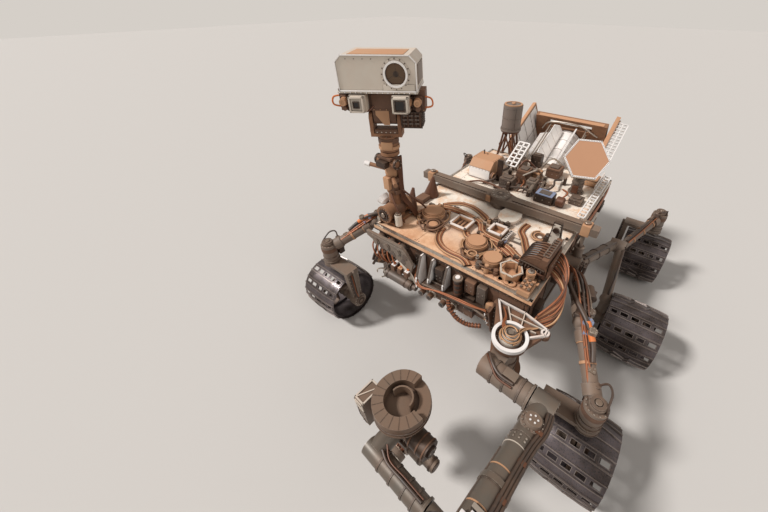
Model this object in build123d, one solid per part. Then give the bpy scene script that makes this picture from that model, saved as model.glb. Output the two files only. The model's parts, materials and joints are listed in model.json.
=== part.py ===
from build123d import *
import math
import os

os.makedirs("parts", exist_ok=True)

# A six-wheeled planetary rover with a mast, a robotic arm and a rear power source.
# Millimetres; +X forward, +Y port, +Z up, ground at z = 0 under the middle axle.

# Clearances
RUN = 0.05            # radial clearance of a shaft in its bore
GAP = 6               # gap between the faces of two bodies that move
TIRE_GAP = 16         # gap between a wheel's side and the leg beside it
SINK = 1              # how far a cutter passes the face that it opens
FAR = 3000            # past everything, for cutting blocks

# Wheels
WHEEL_R = 250         # to the tips of the lugs
WHEEL_W = 400
RIM_MID_R = 242       # crowned rim, larger in the middle
RIM_EDGE_R = 232
RIM_FLAT = 230        # width of the rim's flat middle band
SKIN = 5
LUGS = 24
LUG_T = 6
HUB_R = 60
HUB_IN = 20           # hub's inner face, outboard of the wheel's middle plane
HUB_LEN = 56
SPOKES = 8
SPOKE_T = 9
SPOKE_W = 40
SPOKE_BEND = 26       # degrees that the flexure's outer run is turned
SPINDLE_R = 34
SPINDLE_DEEP = 42     # how far the spindle reaches into the hub

# Wheel places: name, x, y
AXLES = [
    ("front", 1100, 1100),
    ("middle", 0, 1200),
    ("rear", -1100, 1100),
]

# Steering and drive
STEER_R = 62
STEER_LOW = 606
STEER_TOP = 770
STEER_CAP_R = 44
STEER_CAP_H = 26
FLANGE_OUT = 8        # how far a bolted flange stands out round a drum
FLANGE_T = 12
SHAFT_R = 28
SHAFT_LEN = 44
KNUCKLE_DISC_R = 70
KNUCKLE_DISC_H = 34
KNUCKLE_ARM_H = 30
LEG_T = 42
LEG_W_TOP = 116
LEG_W_LOW = 84
LEG_RIB_T = 14        # rib down the leg's inboard face
LEG_RIB_OUT = 22
BOSS_R = 62
BOSS_LEN = 66
DRIVE_R = 50
DRIVE_END = 10        # drive housing's outer end, from the wheel's middle plane

# Chassis and deck
BODY_FRONT = 940
BODY_REAR = -780
BODY_HALF = 600
BODY_LOW = 640
BODY_TOP = 1060
BODY_BEVEL = 60
DECK_T = 40
DECK_OVER = 22
DECK_Z = BODY_TOP + DECK_T

# Rocker and bogie, one side; the other is its mirror
TUBE_R = 42
BOGIE_TUBE_R = 38
PIVOT = (230, BODY_TOP - 220) # x, z of the rocker's pivot on the chassis side
PIVOT_R = 88
PIVOT_OUT = 110               # how far the pivot's drum stands out of the chassis side
KNEE = (740, 880, 890)        # x, y, z of the rocker's front bend
KNEE_R = 54
COLLAR_R = 50                 # sleeves where a tube meets its fitting
COLLAR_LEN = 60
ROCKER_TUBE_Z = 724           # height at which a tube meets a steering housing
BOGIE_PIVOT = (-520, 640)     # x, z
BOGIE_PIVOT_R = 62
BOGIE_PIVOT_W = 62
BOGIE_Y = 905                 # middle of the bogie's own pivot drum
BOGIE_ELBOW = (-70, 400)      # x, z where the bogie's front tube meets its leg
HORN_TOP = BODY_TOP - 50
HORN_R = 34

# Differential bar
BAR_X = 190
BAR_W = 104
BAR_H = 58
BAR_LIFT = 40
BAR_HALF = BODY_HALF + 152
BAR_TIP_W = 70                # the bar narrows to this at its ends
BAR_DISC_R = 78
BAR_DISC_H = 18
BAR_GROOVE_W = 26
BAR_GROOVE_DEEP = 20
LINK_R = 15

# Mast
MAST_X = BODY_FRONT - 140
MAST_Y = 60 - BODY_HALF
MAST_FOOT = 190
MAST_FOOT_T = 24
MAST_SEAT = 86
MAST_DRUM_R = 58
MAST_DRUM_LEN = 230
MAST_DRUM_UP = 96
MAST_TUBE_R = 42
MAST_TUBE_TOP = 1640
MAST_COLLARS = [240, 330, 470]   # heights of the tube's collars above the deck
MAST_HEAD_DRUM_DOWN = 70         # crosswise drum below the mast's top
MAST_HEAD_DRUM_R = 30
MAST_HEAD_DRUM_HALF = 85
BOOM_R = 14
BOOM_LEN = 150
PAN_R = 62
PAN_H = 96
PAN_SHAFT_R = 30
PAN_BORE_DEEP = 60
PAN_PLATE_T = 20
HEAD_YAW = 33                 # degrees to port at rest
TILT_Z = MAST_TUBE_TOP + 210
CHEEK_T = 22
CHEEK_GAP = 150
CHEEK_W = 90
TILT_R = 20
PLATE_W = 500
PLATE_H = 118
PLATE_T = 96
CAM_SPACING = 245
CAM_SIZE = (96, 90, 120)      # width, height, depth
NAV_SPACING = 424
NAV_SIZE = (46, 50, 70)
NAV_PAIR = 58                 # between the two cameras of a pair
LASER_W = 430
LASER_H = 180
LASER_D = 290
LASER_FRONT = 115             # front face, ahead of the tilt axis
LASER_CUT = 34
WINDOW_R = 62
WINDOW_OFF = 104
WINDOW_DEEP = 60
RADIATOR = (110, 120, 92)     # finned box behind the camera plate: depth, width, height
RADIATOR_FINS = 5
RADIATOR_FIN_T = 6

# Power source at the rear
POWER_X = BODY_REAR - 50
POWER_Z = BODY_TOP - 160
POWER_TILT = 25
CORE_R = 130
CORE_LEN = 620
CORE_CAP_R = 96
FINS = 8
FIN_R = 300
FIN_T = 8
FIN_CLIP = 70                 # corner cut off each fin's rear end
SHIELD_OFF = 372
SHIELD_L = 720
SHIELD_LOW = -140             # shield's edges from the core's axis
SHIELD_HIGH = 330
SHIELD_T = 26
SHIELD_LEAN = 9
SHIELD_CLIP = 150             # front top corner cut off
CRADLE_T = 60
CRADLE_WINDOW = 0.62

# High-gain antenna
DISH_X = -400
DISH_Y = 420
DISH_POST_R = 46
DISH_POST_H = 120
DISH_PIN_DEEP = 80
DISH_HEAD_R = 52
DISH_HEAD_H = 70
DISH_EAR_T = 14
DISH_EAR_W = 68
DISH_EAR_GAP = 96
DISH_AXIS_UP = 272
DISH_PIN_R = 12
DISH_W = 300                  # across the flats
DISH_T = 34
DISH_OUT = 70                 # from the elevation axis to the dish's back
DISH_BACK_R = 96
DISH_BACK_T = 16
DISH_YAW = 20
DISH_PITCH = 38

# Rod-shaped antenna on its truss
CAN_X = -720
CAN_Y = -400
CAN_R = 92
CAN_H = 235
CAN_BASE_Z = DECK_Z + 285
CAN_FLANGE_T = 16
TRUSS_R = 10
TRUSS_FOOT = (56, 92)         # half spread of the feet in x and y
TRUSS_HEAD = 46               # half spread at the top

# Sample inlets on the deck: name, x, y, radius, height
INLETS = [
    ("inlet_outer", 620, -330, 78, 52),
    ("inlet_middle", 730, 120, 66, 46),
    ("inlet_inner", 815, 290, 62, 50),
]
INLET_MOUTH = 0.62            # the mouth's radius as a share of the housing's
INLET_FLOOR = 8
COVER_T = 9
COVER_LIFT = 1                # gap under a closed cover
COVER_BACK = 14               # from the housing to the hinge's axis
COVER_EAR = 13                # inner side of each ear, from the middle
COVER_EAR_T = 8
COVER_PIN_R = 4
COVER_PIN_WALL = 4            # metal left round the pin

# Open boxes on the deck: name, x, y, length, width, height, wall
TRAYS = [
    ("sample_pocket", 590, -90, 128, 130, 34, 16),
    ("deck_tray", 530, 170, 118, 116, 46, 14),
]
HEX_BIN = (845, 430, 60, 62)          # x, y, flats' half width, height
# Closed boxes behind the bar: x, y, length, width, height
REAR_BOXES = [
    (-100, 260, 110, 150, 70),
    (-140, -100, 100, 120, 90),
    (-200, 100, 90, 80, 100),
    (-220, 480, 100, 100, 50),
    (-300, -20, 120, 100, 130),
    (-420, 20, 100, 140, 80),
    (-520, -160, 120, 100, 110),
    (-580, 160, 140, 120, 90),
    (-620, 460, 120, 160, 70),
    (-680, -60, 80, 100, 120),
]
OVAL_COVER = (300, 150, 112, 82, 36)  # x, y, half axes, height
POST = (815, 540)                     # knob on the port front corner
POST_STEPS = [(0, 18, 42), (18, 58, 24), (58, 74, 29)]   # from, to, radius
LOCK_BOX = (905, 558, 104, 70, 44)    # x, y, length, width, height
STOW_X = 480                          # upright bracket in which the arm rests when folded
STOW_Y = BODY_HALF - 55
STOW_BASE = (150, 96, 14)
STOW_H = 235
STOW_W_LOW = 92
STOW_W_TOP = 52
STOW_T = 26
STOW_BOSS_R = 17

# Ribbed cable housing by the arm's root
DUCT_X0 = 590
DUCT_X1 = 770
DUCT_Y0 = BODY_HALF - 150
DUCT_Y1 = BODY_HALF + 12
DUCT_H = 138
DUCT_RIBS = 7
DUCT_RIB_T = 9
DUCT_RIB_OUT = 9
STOP_BAR = (34, 40)                   # width, height of the bar along the housing's top

# Front panel
CAMERA_BAR_HALF = 270
CAMERA_BAR_T = 46
CAMERA_BAR_H = 80
HAZARD_CAMERAS = [-125, -55, 55, 125]     # y of each barrel
HAZARD_R = 22
HAZARD_LEN = 58
KNOB_X = BODY_FRONT + 66
KNOB_T = 20
KNOB_YS = [-545, -440, -335]
KNOB_R = 27
KNOB_Z = 1022
# Knob plate's outline: y, z
KNOB_PLATE = [(-640, 1078), (-640, 1036), (-330, 938), (-222, 884), (-206, 960), (-262, 1046), (-300, 1078)]
FIN_PLATES = [(-150, 118, 250), (-60, 100, 210), (60, 96, 190)]   # y, reach ahead of the body, height
FIN_PLATE_T = 10
CYLINDER_X = BODY_FRONT + 105
CYLINDER_Z = 776
CYLINDER_R = 36
CYLINDER_Y0 = -450
CYLINDER_Y1 = -200
HANGER_YS = [-414, -310]
RACK_BARS = 3
RACK_Y = -400
RACK_PITCH = 62
RACK_Z0 = 850
RACK_Z1 = 905

# Arm
ARM_X = BODY_FRONT + 210
ARM_Y = BODY_HALF
ARM_YAW = -4                  # degrees to port at rest
ARM_LOW = BODY_LOW + 76
ARM_TOP = BODY_TOP - 120
ARM_AXIS_Z = ARM_TOP - 40
ARM_DRUM_R = 58
ARM_PIN_R = 22
EAR_R = 96
EAR_T = 28
EAR_RIM = 20                  # raised wall round the upper ear
EAR_RIM_T = 10
LUG_AT = (BODY_FRONT + 70, BODY_HALF + 142)   # x, y of the tail's lifting lug
LUG_R = 30
LUG_HOLE_R = 12
WEB_FINS = 4
ELEV_X = 170
ELEV_R = 60
ELEV_Y0 = -6
ELEV_Y1 = 230
UPPER_L = 920
UPPER_R = 56
UPPER_DROP = -16              # degrees below level at rest
UPPER_HUB_W = 112
FORE_L = 590
FORE_R = 43
FORE_PITCH = 119              # degrees about +Y from straight ahead, at rest
FORE_OFF = 150
ELBOW_R = 58
WRIST_R = 48
WRIST_W = 96
WRIST_REACH = 400             # from the forearm's plane to the turret's axis
TURRET_OUT = 178
TURRET_R = 88
TURRET_H = 96
DRILL_OFF = 160               # drill's axis below the turret's
# Drill's steps from its starboard end: y, radius
DRILL_STEPS = [
    (-150, 50),
    (-100, 46),
    (-84, 60),
    (-20, 54),
    (0, 62),
    (70, 58),
    (168, 52),
    (176, 38),
    (238, 36),
]
DRILL_ROD_R = 8
RING_R = 146
RING_IN_R = 88
RING_LOW = 150                # ring's lower face above the turret's axis
RING_H = 84
RING_FLOOR = 14
RING_STEP = 46                # how far the open quarter of its wall is cut down
RING_SHELL_T = 8
RING_X = 24                   # ring's middle, towards the rover from the turret's
SLAB_X = (-100, 26)
SLAB_Y = (-252, -176)
SLAB_Z = (-20, 150)
SLAB_CLIP = 48                # square bar that cuts the slab's lower outer corner
FRAME_Z = -96                 # upper end of the braced window frame over the slab
FRAME_WALL = 12
BRUSH_R = 46
BRUSH_AT = (20, 236)          # y, z
BRUSH_X = (-108, -60)
SCOPE_R = 56
SCOPE_IN = 20                 # how far its base reaches into the hub
SCOPE_LEN = 120


def box(x0, x1, y0, y1, z0, z1):
    """A block between two corners."""
    block = Box(abs(x1 - x0), abs(y1 - y0), abs(z1 - z0))
    return Pos((x0 + x1) / 2, (y0 + y1) / 2, (z0 + z1) / 2) * block


def on_deck(x, y, length, width, height, low=DECK_Z):
    """A block that stands on the deck, given by its middle."""
    return Pos(x, y, low + height / 2) * Box(length, width, height)


def rod(start, end, radius):
    """A round bar from one point to another."""
    start = Vector(*start)
    end = Vector(*end)
    along = end - start
    return Plane(origin=(start + end) * 0.5, z_dir=along) * Cylinder(radius, along.length)


def post(x, y, z0, z1, radius):
    """An upright drum."""
    return rod((x, y, z0), (x, y, z1), radius)


def lying(x, y0, y1, z, radius):
    """A drum along Y."""
    return rod((x, y0, z), (x, y1, z), radius)


def ball(centre, radius):
    return Pos(*centre) * Rot(Y=90) * Sphere(radius)


def slab(points, y0, y1):
    """A plate cut to an outline of (x, z) points, from y0 to y1."""
    face = Plane.XZ * make_face(Polyline(*points, close=True))
    return Pos(0, y1, 0) * extrude(face, y1 - y0)


def flat(points, z0, z1):
    """A plate cut to an outline of (x, y) points, from z0 to z1."""
    return Pos(0, 0, z0) * extrude(make_face(Polyline(*points, close=True)), z1 - z0)


def facing(points, x0, x1):
    """A plate cut to an outline of (y, z) points, from x0 to x1."""
    face = Plane.YZ * make_face(Polyline(*points, close=True))
    return Pos(x0, 0, 0) * extrude(face, x1 - x0)


def sleeve(start, end, at, radius, length):
    """A collar on the line from start to end, its middle a given length from the start."""
    start = Vector(*start)
    along = (Vector(*end) - start).normalized()
    middle = start + along * at
    return rod(tuple(middle - along * (length / 2)), tuple(middle + along * (length / 2)), radius)


def starboard(piece):
    return mirror(piece, about=Plane.XZ)


pieces = {}


def put(name, *shapes):
    """Keep a node: one shape, or several that don't touch."""
    pieces[name] = shapes[0] if len(shapes) == 1 else Compound(shapes)


# Wheels


def drum_form(mid_r, edge_r):
    """A crowned drum with a flat on each side between two lugs."""
    bands = [(-WHEEL_W / 2, edge_r), (-RIM_FLAT / 2, mid_r), (RIM_FLAT / 2, mid_r), (WHEEL_W / 2, edge_r)]
    sections = [Plane(origin=(0, y, 0), z_dir=(0, 1, 0)) * RegularPolygon(r, LUGS) for y, r in bands]
    return loft(sections, ruled=True)


def spoke_run(start, end):
    """One straight run of a spoke, in the wheel's own plane."""
    dx, dz = end[0] - start[0], end[1] - start[1]
    length = math.hypot(dx, dz) + SPOKE_T / 5
    middle = Pos((start[0] + end[0]) / 2, 0, (start[1] + end[1]) / 2)
    return middle * Rot(Y=-math.degrees(math.atan2(dz, dx))) * Box(length, SPOKE_W, SPOKE_T)


def wheel():
    """A wheel about the origin, outboard side towards +Y."""
    form = drum_form(RIM_MID_R, RIM_EDGE_R)
    lug_low = RIM_EDGE_R - SKIN
    lug = Pos((lug_low + WHEEL_R) / 2, 0, 0) * Box(WHEEL_R - lug_low, WHEEL_W, LUG_T)
    form += [Rot(Y=i * 360 / LUGS) * lug for i in range(LUGS)]
    form -= drum_form(RIM_MID_R - SKIN, RIM_EDGE_R - SKIN)
    turn = math.radians(SPOKE_BEND)
    mid = (HUB_R + RIM_MID_R) / 2
    corner = (mid * math.cos(turn / 2), mid * math.sin(turn / 2))
    reach = RIM_MID_R - SKIN / 2
    tip = (reach * math.cos(turn), reach * math.sin(turn))
    spoke = spoke_run((HUB_R * 0.8, 0), corner) + spoke_run(corner, tip)
    spoke = Pos(0, HUB_IN + HUB_LEN / 2, 0) * spoke
    form += [Rot(Y=i * 360 / SPOKES) * spoke for i in range(SPOKES)]
    form += lying(0, HUB_IN, HUB_IN + HUB_LEN, 0, HUB_R)
    return form - lying(0, HUB_IN - SINK, HUB_IN + SPINDLE_DEEP + GAP / 2, 0, SPINDLE_R + RUN)


one_wheel = wheel()
for axle, wheel_x, wheel_y in AXLES:
    placed = Pos(wheel_x, wheel_y, WHEEL_R) * one_wheel
    put(f"wheel_{axle}_port", placed)
    put(f"wheel_{axle}_starboard", starboard(placed))

# Drive, knuckle and steering housing, about the wheel's middle

LEG_Y1 = -WHEEL_W / 2 - TIRE_GAP
LEG_Y0 = LEG_Y1 - LEG_T
KNUCKLE_TOP = STEER_LOW - GAP - WHEEL_R


def drive():
    """Boss, motor housing and spindle; the wheel's middle is the origin."""
    boss = lying(0, LEG_Y1 - BOSS_LEN, LEG_Y1, 0, BOSS_R)
    boss += lying(0, LEG_Y1 - BOSS_LEN - FLANGE_T, LEG_Y1 - BOSS_LEN, 0, DRIVE_R - FLANGE_OUT)
    motor = lying(0, LEG_Y1, DRIVE_END, 0, DRIVE_R)
    return boss + motor + lying(0, DRIVE_END, HUB_IN + SPINDLE_DEEP, 0, SPINDLE_R)


def knuckle():
    arm_low = KNUCKLE_TOP - KNUCKLE_DISC_H
    half = LEG_W_TOP / 2
    low_half = LEG_W_LOW / 2
    leg = slab([(-half, arm_low), (half, arm_low), (low_half, 0), (-low_half, 0)], LEG_Y0, LEG_Y1)
    rib = box(-LEG_RIB_T / 2, LEG_RIB_T / 2, LEG_Y0 - LEG_RIB_OUT, LEG_Y0, 0, arm_low + KNUCKLE_ARM_H)
    arm = box(-half, half, LEG_Y0, 0, arm_low, arm_low + KNUCKLE_ARM_H)
    disc = post(0, 0, KNUCKLE_TOP - KNUCKLE_DISC_H, KNUCKLE_TOP, KNUCKLE_DISC_R)
    shaft = post(0, 0, KNUCKLE_TOP, KNUCKLE_TOP + GAP + SHAFT_LEN, SHAFT_R)
    return leg + rib + arm + disc + shaft + drive()


def steer_housing(x, y):
    body = post(x, y, STEER_LOW, STEER_TOP, STEER_R)
    body += post(x, y, STEER_LOW, STEER_LOW + FLANGE_T, STEER_R + FLANGE_OUT)
    body += post(x, y, STEER_TOP, STEER_TOP + STEER_CAP_H, STEER_CAP_R)
    bore = post(x, y, STEER_LOW - SINK, STEER_LOW + SHAFT_LEN + GAP, SHAFT_R + RUN)
    return body, bore


one_knuckle = knuckle()
for axle, wheel_x, wheel_y in AXLES:
    if axle != "middle":
        placed = Pos(wheel_x, wheel_y, WHEEL_R) * one_knuckle
        put(f"knuckle_{axle}_port", placed)
        put(f"knuckle_{axle}_starboard", starboard(placed))

# Rocker and bogie

PIVOT_END = BODY_HALF + PIVOT_OUT
ROCKER_Y = BODY_HALF + PIVOT_OUT * 0.6
BOGIE_Y0 = BOGIE_Y - BOGIE_PIVOT_W / 2
FRONT_X, FRONT_Y = AXLES[0][1:]
MIDDLE_X, MIDDLE_Y = AXLES[1][1:]
REAR_X, REAR_Y = AXLES[2][1:]


def rocker():
    px, pz = PIVOT
    bx, bz = BOGIE_PIVOT
    root = (px, ROCKER_Y, pz)
    front = (FRONT_X, FRONT_Y, ROCKER_TUBE_Z)
    rear = (bx, BOGIE_Y0 - BOGIE_PIVOT_W / 2, bz)
    housing, bore = steer_housing(FRONT_X, FRONT_Y)
    form = lying(px, BODY_HALF, PIVOT_END, pz, PIVOT_R)
    form += lying(px, PIVOT_END, PIVOT_END + FLANGE_T, pz, PIVOT_R * 0.7)
    form += rod(root, KNEE, TUBE_R)
    form += rod(KNEE, front, TUBE_R)
    form += ball(KNEE, KNEE_R)
    form += sleeve(KNEE, root, KNEE_R + COLLAR_LEN / 2, COLLAR_R, COLLAR_LEN)
    form += sleeve(KNEE, front, KNEE_R + COLLAR_LEN / 2, COLLAR_R, COLLAR_LEN)
    form += sleeve(front, KNEE, STEER_R + COLLAR_LEN / 2, COLLAR_R, COLLAR_LEN)
    form += housing
    form += rod(root, rear, TUBE_R)
    form += lying(bx, BOGIE_Y0 - BOGIE_PIVOT_W, BOGIE_Y0, bz, BOGIE_PIVOT_R)
    form += rod((BAR_X, ROCKER_Y, pz), (BAR_X, ROCKER_Y, HORN_TOP), HORN_R)
    return form - box(-FAR, BAR_X, BOGIE_Y0, FAR, 0, FAR) - bore


def bogie():
    bx, bz = BOGIE_PIVOT
    ex, ez = BOGIE_ELBOW
    leg_y = MIDDLE_Y + (LEG_Y0 + LEG_Y1) / 2
    root = (bx, BOGIE_Y, bz)
    elbow = (ex, leg_y, ez)
    rear = (REAR_X, REAR_Y, ROCKER_TUBE_Z)
    housing, bore = steer_housing(REAR_X, REAR_Y)
    form = lying(bx, BOGIE_Y0, BOGIE_Y0 + BOGIE_PIVOT_W, bz, BOGIE_PIVOT_R)
    form += rod(root, elbow, BOGIE_TUBE_R)
    form += rod(elbow, (MIDDLE_X, leg_y, WHEEL_R), BOGIE_TUBE_R)
    form += ball(elbow, COLLAR_R)
    form += rod(root, rear, BOGIE_TUBE_R)
    form += sleeve(rear, root, STEER_R + COLLAR_LEN / 2, COLLAR_R, COLLAR_LEN)
    form += housing
    form += Pos(MIDDLE_X, MIDDLE_Y, WHEEL_R) * drive()
    return form - box(-FAR, FAR, 0, BOGIE_Y0, 0, FAR) - bore


port_rocker = rocker()
put("rocker_port", port_rocker)
put("rocker_starboard", starboard(port_rocker))
port_bogie = bogie()
put("bogie_port", port_bogie)
put("bogie_starboard", starboard(port_bogie))

# Chassis, deck and differential bar

side = [
    (BODY_REAR, BODY_TOP),
    (BODY_REAR, BODY_LOW + BODY_BEVEL),
    (BODY_REAR + BODY_BEVEL, BODY_LOW),
    (BODY_FRONT - BODY_BEVEL, BODY_LOW),
    (BODY_FRONT, BODY_LOW + BODY_BEVEL),
    (BODY_FRONT, BODY_TOP),
]
put("chassis", slab(side, -BODY_HALF, BODY_HALF))
deck_x0, deck_x1 = BODY_REAR - DECK_OVER, BODY_FRONT + DECK_OVER
deck_y = BODY_HALF + DECK_OVER
put("deck", box(deck_x0, deck_x1, -deck_y, deck_y, BODY_TOP, DECK_Z))

bar_low = DECK_Z + BAR_LIFT
bar_top = bar_low + BAR_H
wide, tip = BAR_W / 2, BAR_TIP_W / 2
bar_outline = [
    (BAR_X - wide, 0),
    (BAR_X - tip, BAR_HALF),
    (BAR_X + tip, BAR_HALF),
    (BAR_X + wide, 0),
    (BAR_X + tip, -BAR_HALF),
    (BAR_X - tip, -BAR_HALF),
]
beam = flat(bar_outline, bar_low, bar_top)
for hand in (1, -1):
    groove_y = sorted((hand * BAR_DISC_R * 1.4, hand * (BAR_HALF - BAR_TIP_W)))
    groove_x = (BAR_X + wide * 0.3, BAR_X + wide * 0.3 + BAR_GROOVE_W / 2)
    beam -= box(*groove_x, *groove_y, bar_top - BAR_GROOVE_DEEP, bar_top + SINK)
beam += post(BAR_X, 0, DECK_Z, bar_low, BAR_DISC_R * 0.7)
beam += post(BAR_X, 0, bar_top, bar_top + BAR_DISC_H, BAR_DISC_R)
for hand in (1, -1):
    beam += post(BAR_X, hand * ROCKER_Y, HORN_TOP, bar_low, LINK_R)
    beam += post(BAR_X, hand * ROCKER_Y, bar_low - FLANGE_T * 2, bar_low, LINK_R * 2)
put("differential_bar", beam)

# Mast, root part: foot, folding drum, tube, collars and booms

drum_z = DECK_Z + MAST_DRUM_UP
seat = MAST_SEAT / 2
mast = on_deck(MAST_X, MAST_Y, MAST_FOOT, MAST_FOOT * 0.7, MAST_FOOT_T)
mast += box(MAST_X - seat, MAST_X + seat, MAST_Y - seat, MAST_Y + seat, DECK_Z, drum_z)
rear_x, front_x = MAST_X - MAST_DRUM_LEN / 2, MAST_X + MAST_DRUM_LEN / 2
mast += rod((rear_x, MAST_Y, drum_z), (front_x, MAST_Y, drum_z), MAST_DRUM_R)
mast += rod((front_x, MAST_Y, drum_z), (front_x + FLANGE_T, MAST_Y, drum_z), MAST_DRUM_R + FLANGE_OUT)
mast += post(MAST_X, MAST_Y, drum_z, MAST_TUBE_TOP, MAST_TUBE_R)
for up in MAST_COLLARS:
    mast += post(MAST_X, MAST_Y, DECK_Z + up, DECK_Z + up + FLANGE_T * 2, MAST_TUBE_R + FLANGE_OUT)
cross_x = MAST_X + MAST_TUBE_R * 0.7
cross_z = MAST_TUBE_TOP - MAST_HEAD_DRUM_DOWN
mast += lying(cross_x, MAST_Y - MAST_HEAD_DRUM_HALF, MAST_Y + MAST_HEAD_DRUM_HALF, cross_z, MAST_HEAD_DRUM_R)
mast += post(MAST_X, MAST_Y, MAST_TUBE_TOP - FLANGE_T * 2, MAST_TUBE_TOP, PAN_R)
for turn, up in ((-70, 400), (50, 352)):
    boom = Rot(Z=turn) * rod((MAST_TUBE_R / 2, 0, 0), (MAST_TUBE_R + BOOM_LEN, 0, BOOM_LEN / 6), BOOM_R)
    mast += Pos(MAST_X, MAST_Y, DECK_Z + up) * boom
pan_bore_low = MAST_TUBE_TOP - PAN_BORE_DEEP
mast -= post(MAST_X, MAST_Y, pan_bore_low, MAST_TUBE_TOP + SINK, PAN_SHAFT_R + RUN)
put("mast", mast)

# Pan housing with two cheeks, then the head between them

head_at = Pos(MAST_X, MAST_Y, 0) * Rot(Z=HEAD_YAW)
pan_low = MAST_TUBE_TOP + GAP
pan_top = pan_low + PAN_H
cheek_in = CHEEK_GAP / 2
cheek_out = cheek_in + CHEEK_T
cheek_half = CHEEK_W / 2
pan = post(0, 0, pan_low, pan_top, PAN_R)
pan += post(0, 0, pan_bore_low + GAP, pan_low, PAN_SHAFT_R)
pan += box(-cheek_half, cheek_half, -cheek_out, cheek_out, pan_top, pan_top + PAN_PLATE_T)
for hand in (1, -1):
    y0, y1 = sorted((hand * cheek_in, hand * cheek_out))
    pan += box(-cheek_half, cheek_half, y0, y1, pan_top, TILT_Z)
    pan += lying(0, y0, y1, TILT_Z, cheek_half)
    pan -= lying(0, y0 - SINK, y1 + SINK, TILT_Z, TILT_R + RUN)
put("mast_pan", head_at * pan)

neck_half = cheek_in - GAP
neck_x = cheek_half - GAP
plate_low = TILT_Z + cheek_half + GAP
plate_top = plate_low + PLATE_H
plate_mid = (plate_low + plate_top) / 2
laser_top = plate_top + LASER_H
neck = lying(0, -neck_half, neck_half, TILT_Z, neck_x)
neck += box(-neck_x, neck_x, -neck_half, neck_half, TILT_Z, plate_low)
neck += lying(0, -cheek_out, cheek_out, TILT_Z, TILT_R)
neck += box(-PLATE_T / 2, PLATE_T / 2, -PLATE_W / 2, PLATE_W / 2, plate_low, plate_top)
deep, broad, tall = RADIATOR
rad_y = cheek_out + GAP * 2
neck += box(-deep / 2, deep / 2, rad_y, rad_y + broad, plate_low - tall, plate_low)
fin_half = RADIATOR_FIN_T / 2
for i in range(RADIATOR_FINS):
    fin_y = rad_y + (i + 0.5) * broad / RADIATOR_FINS
    neck += box(deep / 2, deep / 2 + FLANGE_T, fin_y - fin_half, fin_y + fin_half, plate_low - tall, plate_low)
put("mast_head", head_at * neck)


def camera(off, size):
    """A camera case with its lens barrel, on the front of the camera plate."""
    wide, high, long = size
    front = PLATE_T / 2
    low, top = plate_mid - high / 2, plate_mid + high / 2
    case = box(front, front + long * 0.7, off - wide / 2, off + wide / 2, low, top)
    return case + rod((front + long * 0.7, off, plate_mid), (front + long, off, plate_mid), wide * 0.42)


cameras = [camera(hand * CAM_SPACING / 2, CAM_SIZE) for hand in (1, -1)]
for hand in (1, -1):
    cameras.append(camera(hand * NAV_SPACING / 2, NAV_SIZE))
    cameras.append(camera(hand * (NAV_SPACING / 2 - NAV_PAIR / 2 - NAV_SIZE[0] / 2), NAV_SIZE))
put("mast_cameras", *[head_at * item for item in cameras])

front_outline = [
    (-LASER_W / 2, plate_top),
    (LASER_W / 2, plate_top),
    (LASER_W / 2, laser_top - LASER_CUT),
    (LASER_W / 2 - LASER_CUT, laser_top),
    (-LASER_W / 2 + LASER_CUT, laser_top),
    (-LASER_W / 2, laser_top - LASER_CUT),
]
laser = facing(front_outline, LASER_FRONT - LASER_D, LASER_FRONT)
window_z = plate_top + LASER_H / 2
window = ((LASER_FRONT - WINDOW_DEEP, WINDOW_OFF, window_z), (LASER_FRONT + SINK, WINDOW_OFF, window_z))
laser -= rod(*window, WINDOW_R)
put("laser_box", head_at * laser)

# Power source: finned core, leaning side shields, rear cradle

power_at = Pos(POWER_X, 0, POWER_Z) * Rot(Y=POWER_TILT)
core = rod((0, 0, 0), (-CORE_LEN, 0, 0), CORE_R)
fin_outline = [
    (-GAP * 6, CORE_R * 0.9),
    (-GAP * 6, FIN_R),
    (-CORE_LEN + GAP * 6 + FIN_CLIP, FIN_R),
    (-CORE_LEN + GAP * 6, FIN_R - FIN_CLIP),
    (-CORE_LEN + GAP * 6, CORE_R * 0.9),
]
for i in range(FINS):
    core += Rot(X=(i + 0.5) * 360 / FINS) * slab(fin_outline, -FIN_T / 2, FIN_T / 2)
taken = box(BODY_REAR, FAR, -FAR, FAR, 0, FAR) + box(deck_x0, FAR, -FAR, FAR, BODY_TOP, FAR)
put("power_source", power_at * core - taken)

shield_outline = [
    (0, SHIELD_LOW),
    (0, SHIELD_HIGH - SHIELD_CLIP),
    (-SHIELD_CLIP, SHIELD_HIGH),
    (-SHIELD_L, SHIELD_HIGH),
    (-SHIELD_L, SHIELD_LOW),
]
shields = []
for hand in (1, -1):
    y0, y1 = sorted((0, hand * SHIELD_T))
    sheet = Rot(X=-hand * SHIELD_LEAN) * slab(shield_outline, y0, y1)
    shields.append(power_at * Pos(0, hand * SHIELD_OFF, 0) * sheet - taken)
put("power_shields", *shields)
cradle_high = SHIELD_HIGH * 0.8
cradle = box(-CORE_LEN - CRADLE_T, -CORE_LEN, -SHIELD_OFF, SHIELD_OFF, SHIELD_LOW, cradle_high)
opening = SHIELD_OFF * CRADLE_WINDOW
cradle -= box(-FAR, 0, -opening, opening, CORE_R + GAP * 4, cradle_high - CRADLE_T / 2)
cradle += rod((-CORE_LEN - CRADLE_T - FLANGE_T, 0, 0), (-CORE_LEN - CRADLE_T, 0, 0), CORE_CAP_R)
for hand in (1, -1):
    cut = slab([(-FAR, -FAR), (0, -FAR), (0, FAR), (-FAR, FAR)], 0, FAR)
    trim = Rot(X=-hand * SHIELD_LEAN) * (cut if hand > 0 else starboard(cut))
    cradle -= Pos(0, hand * SHIELD_OFF, 0) * trim
put("power_cradle", power_at * cradle)

# High-gain antenna

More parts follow.
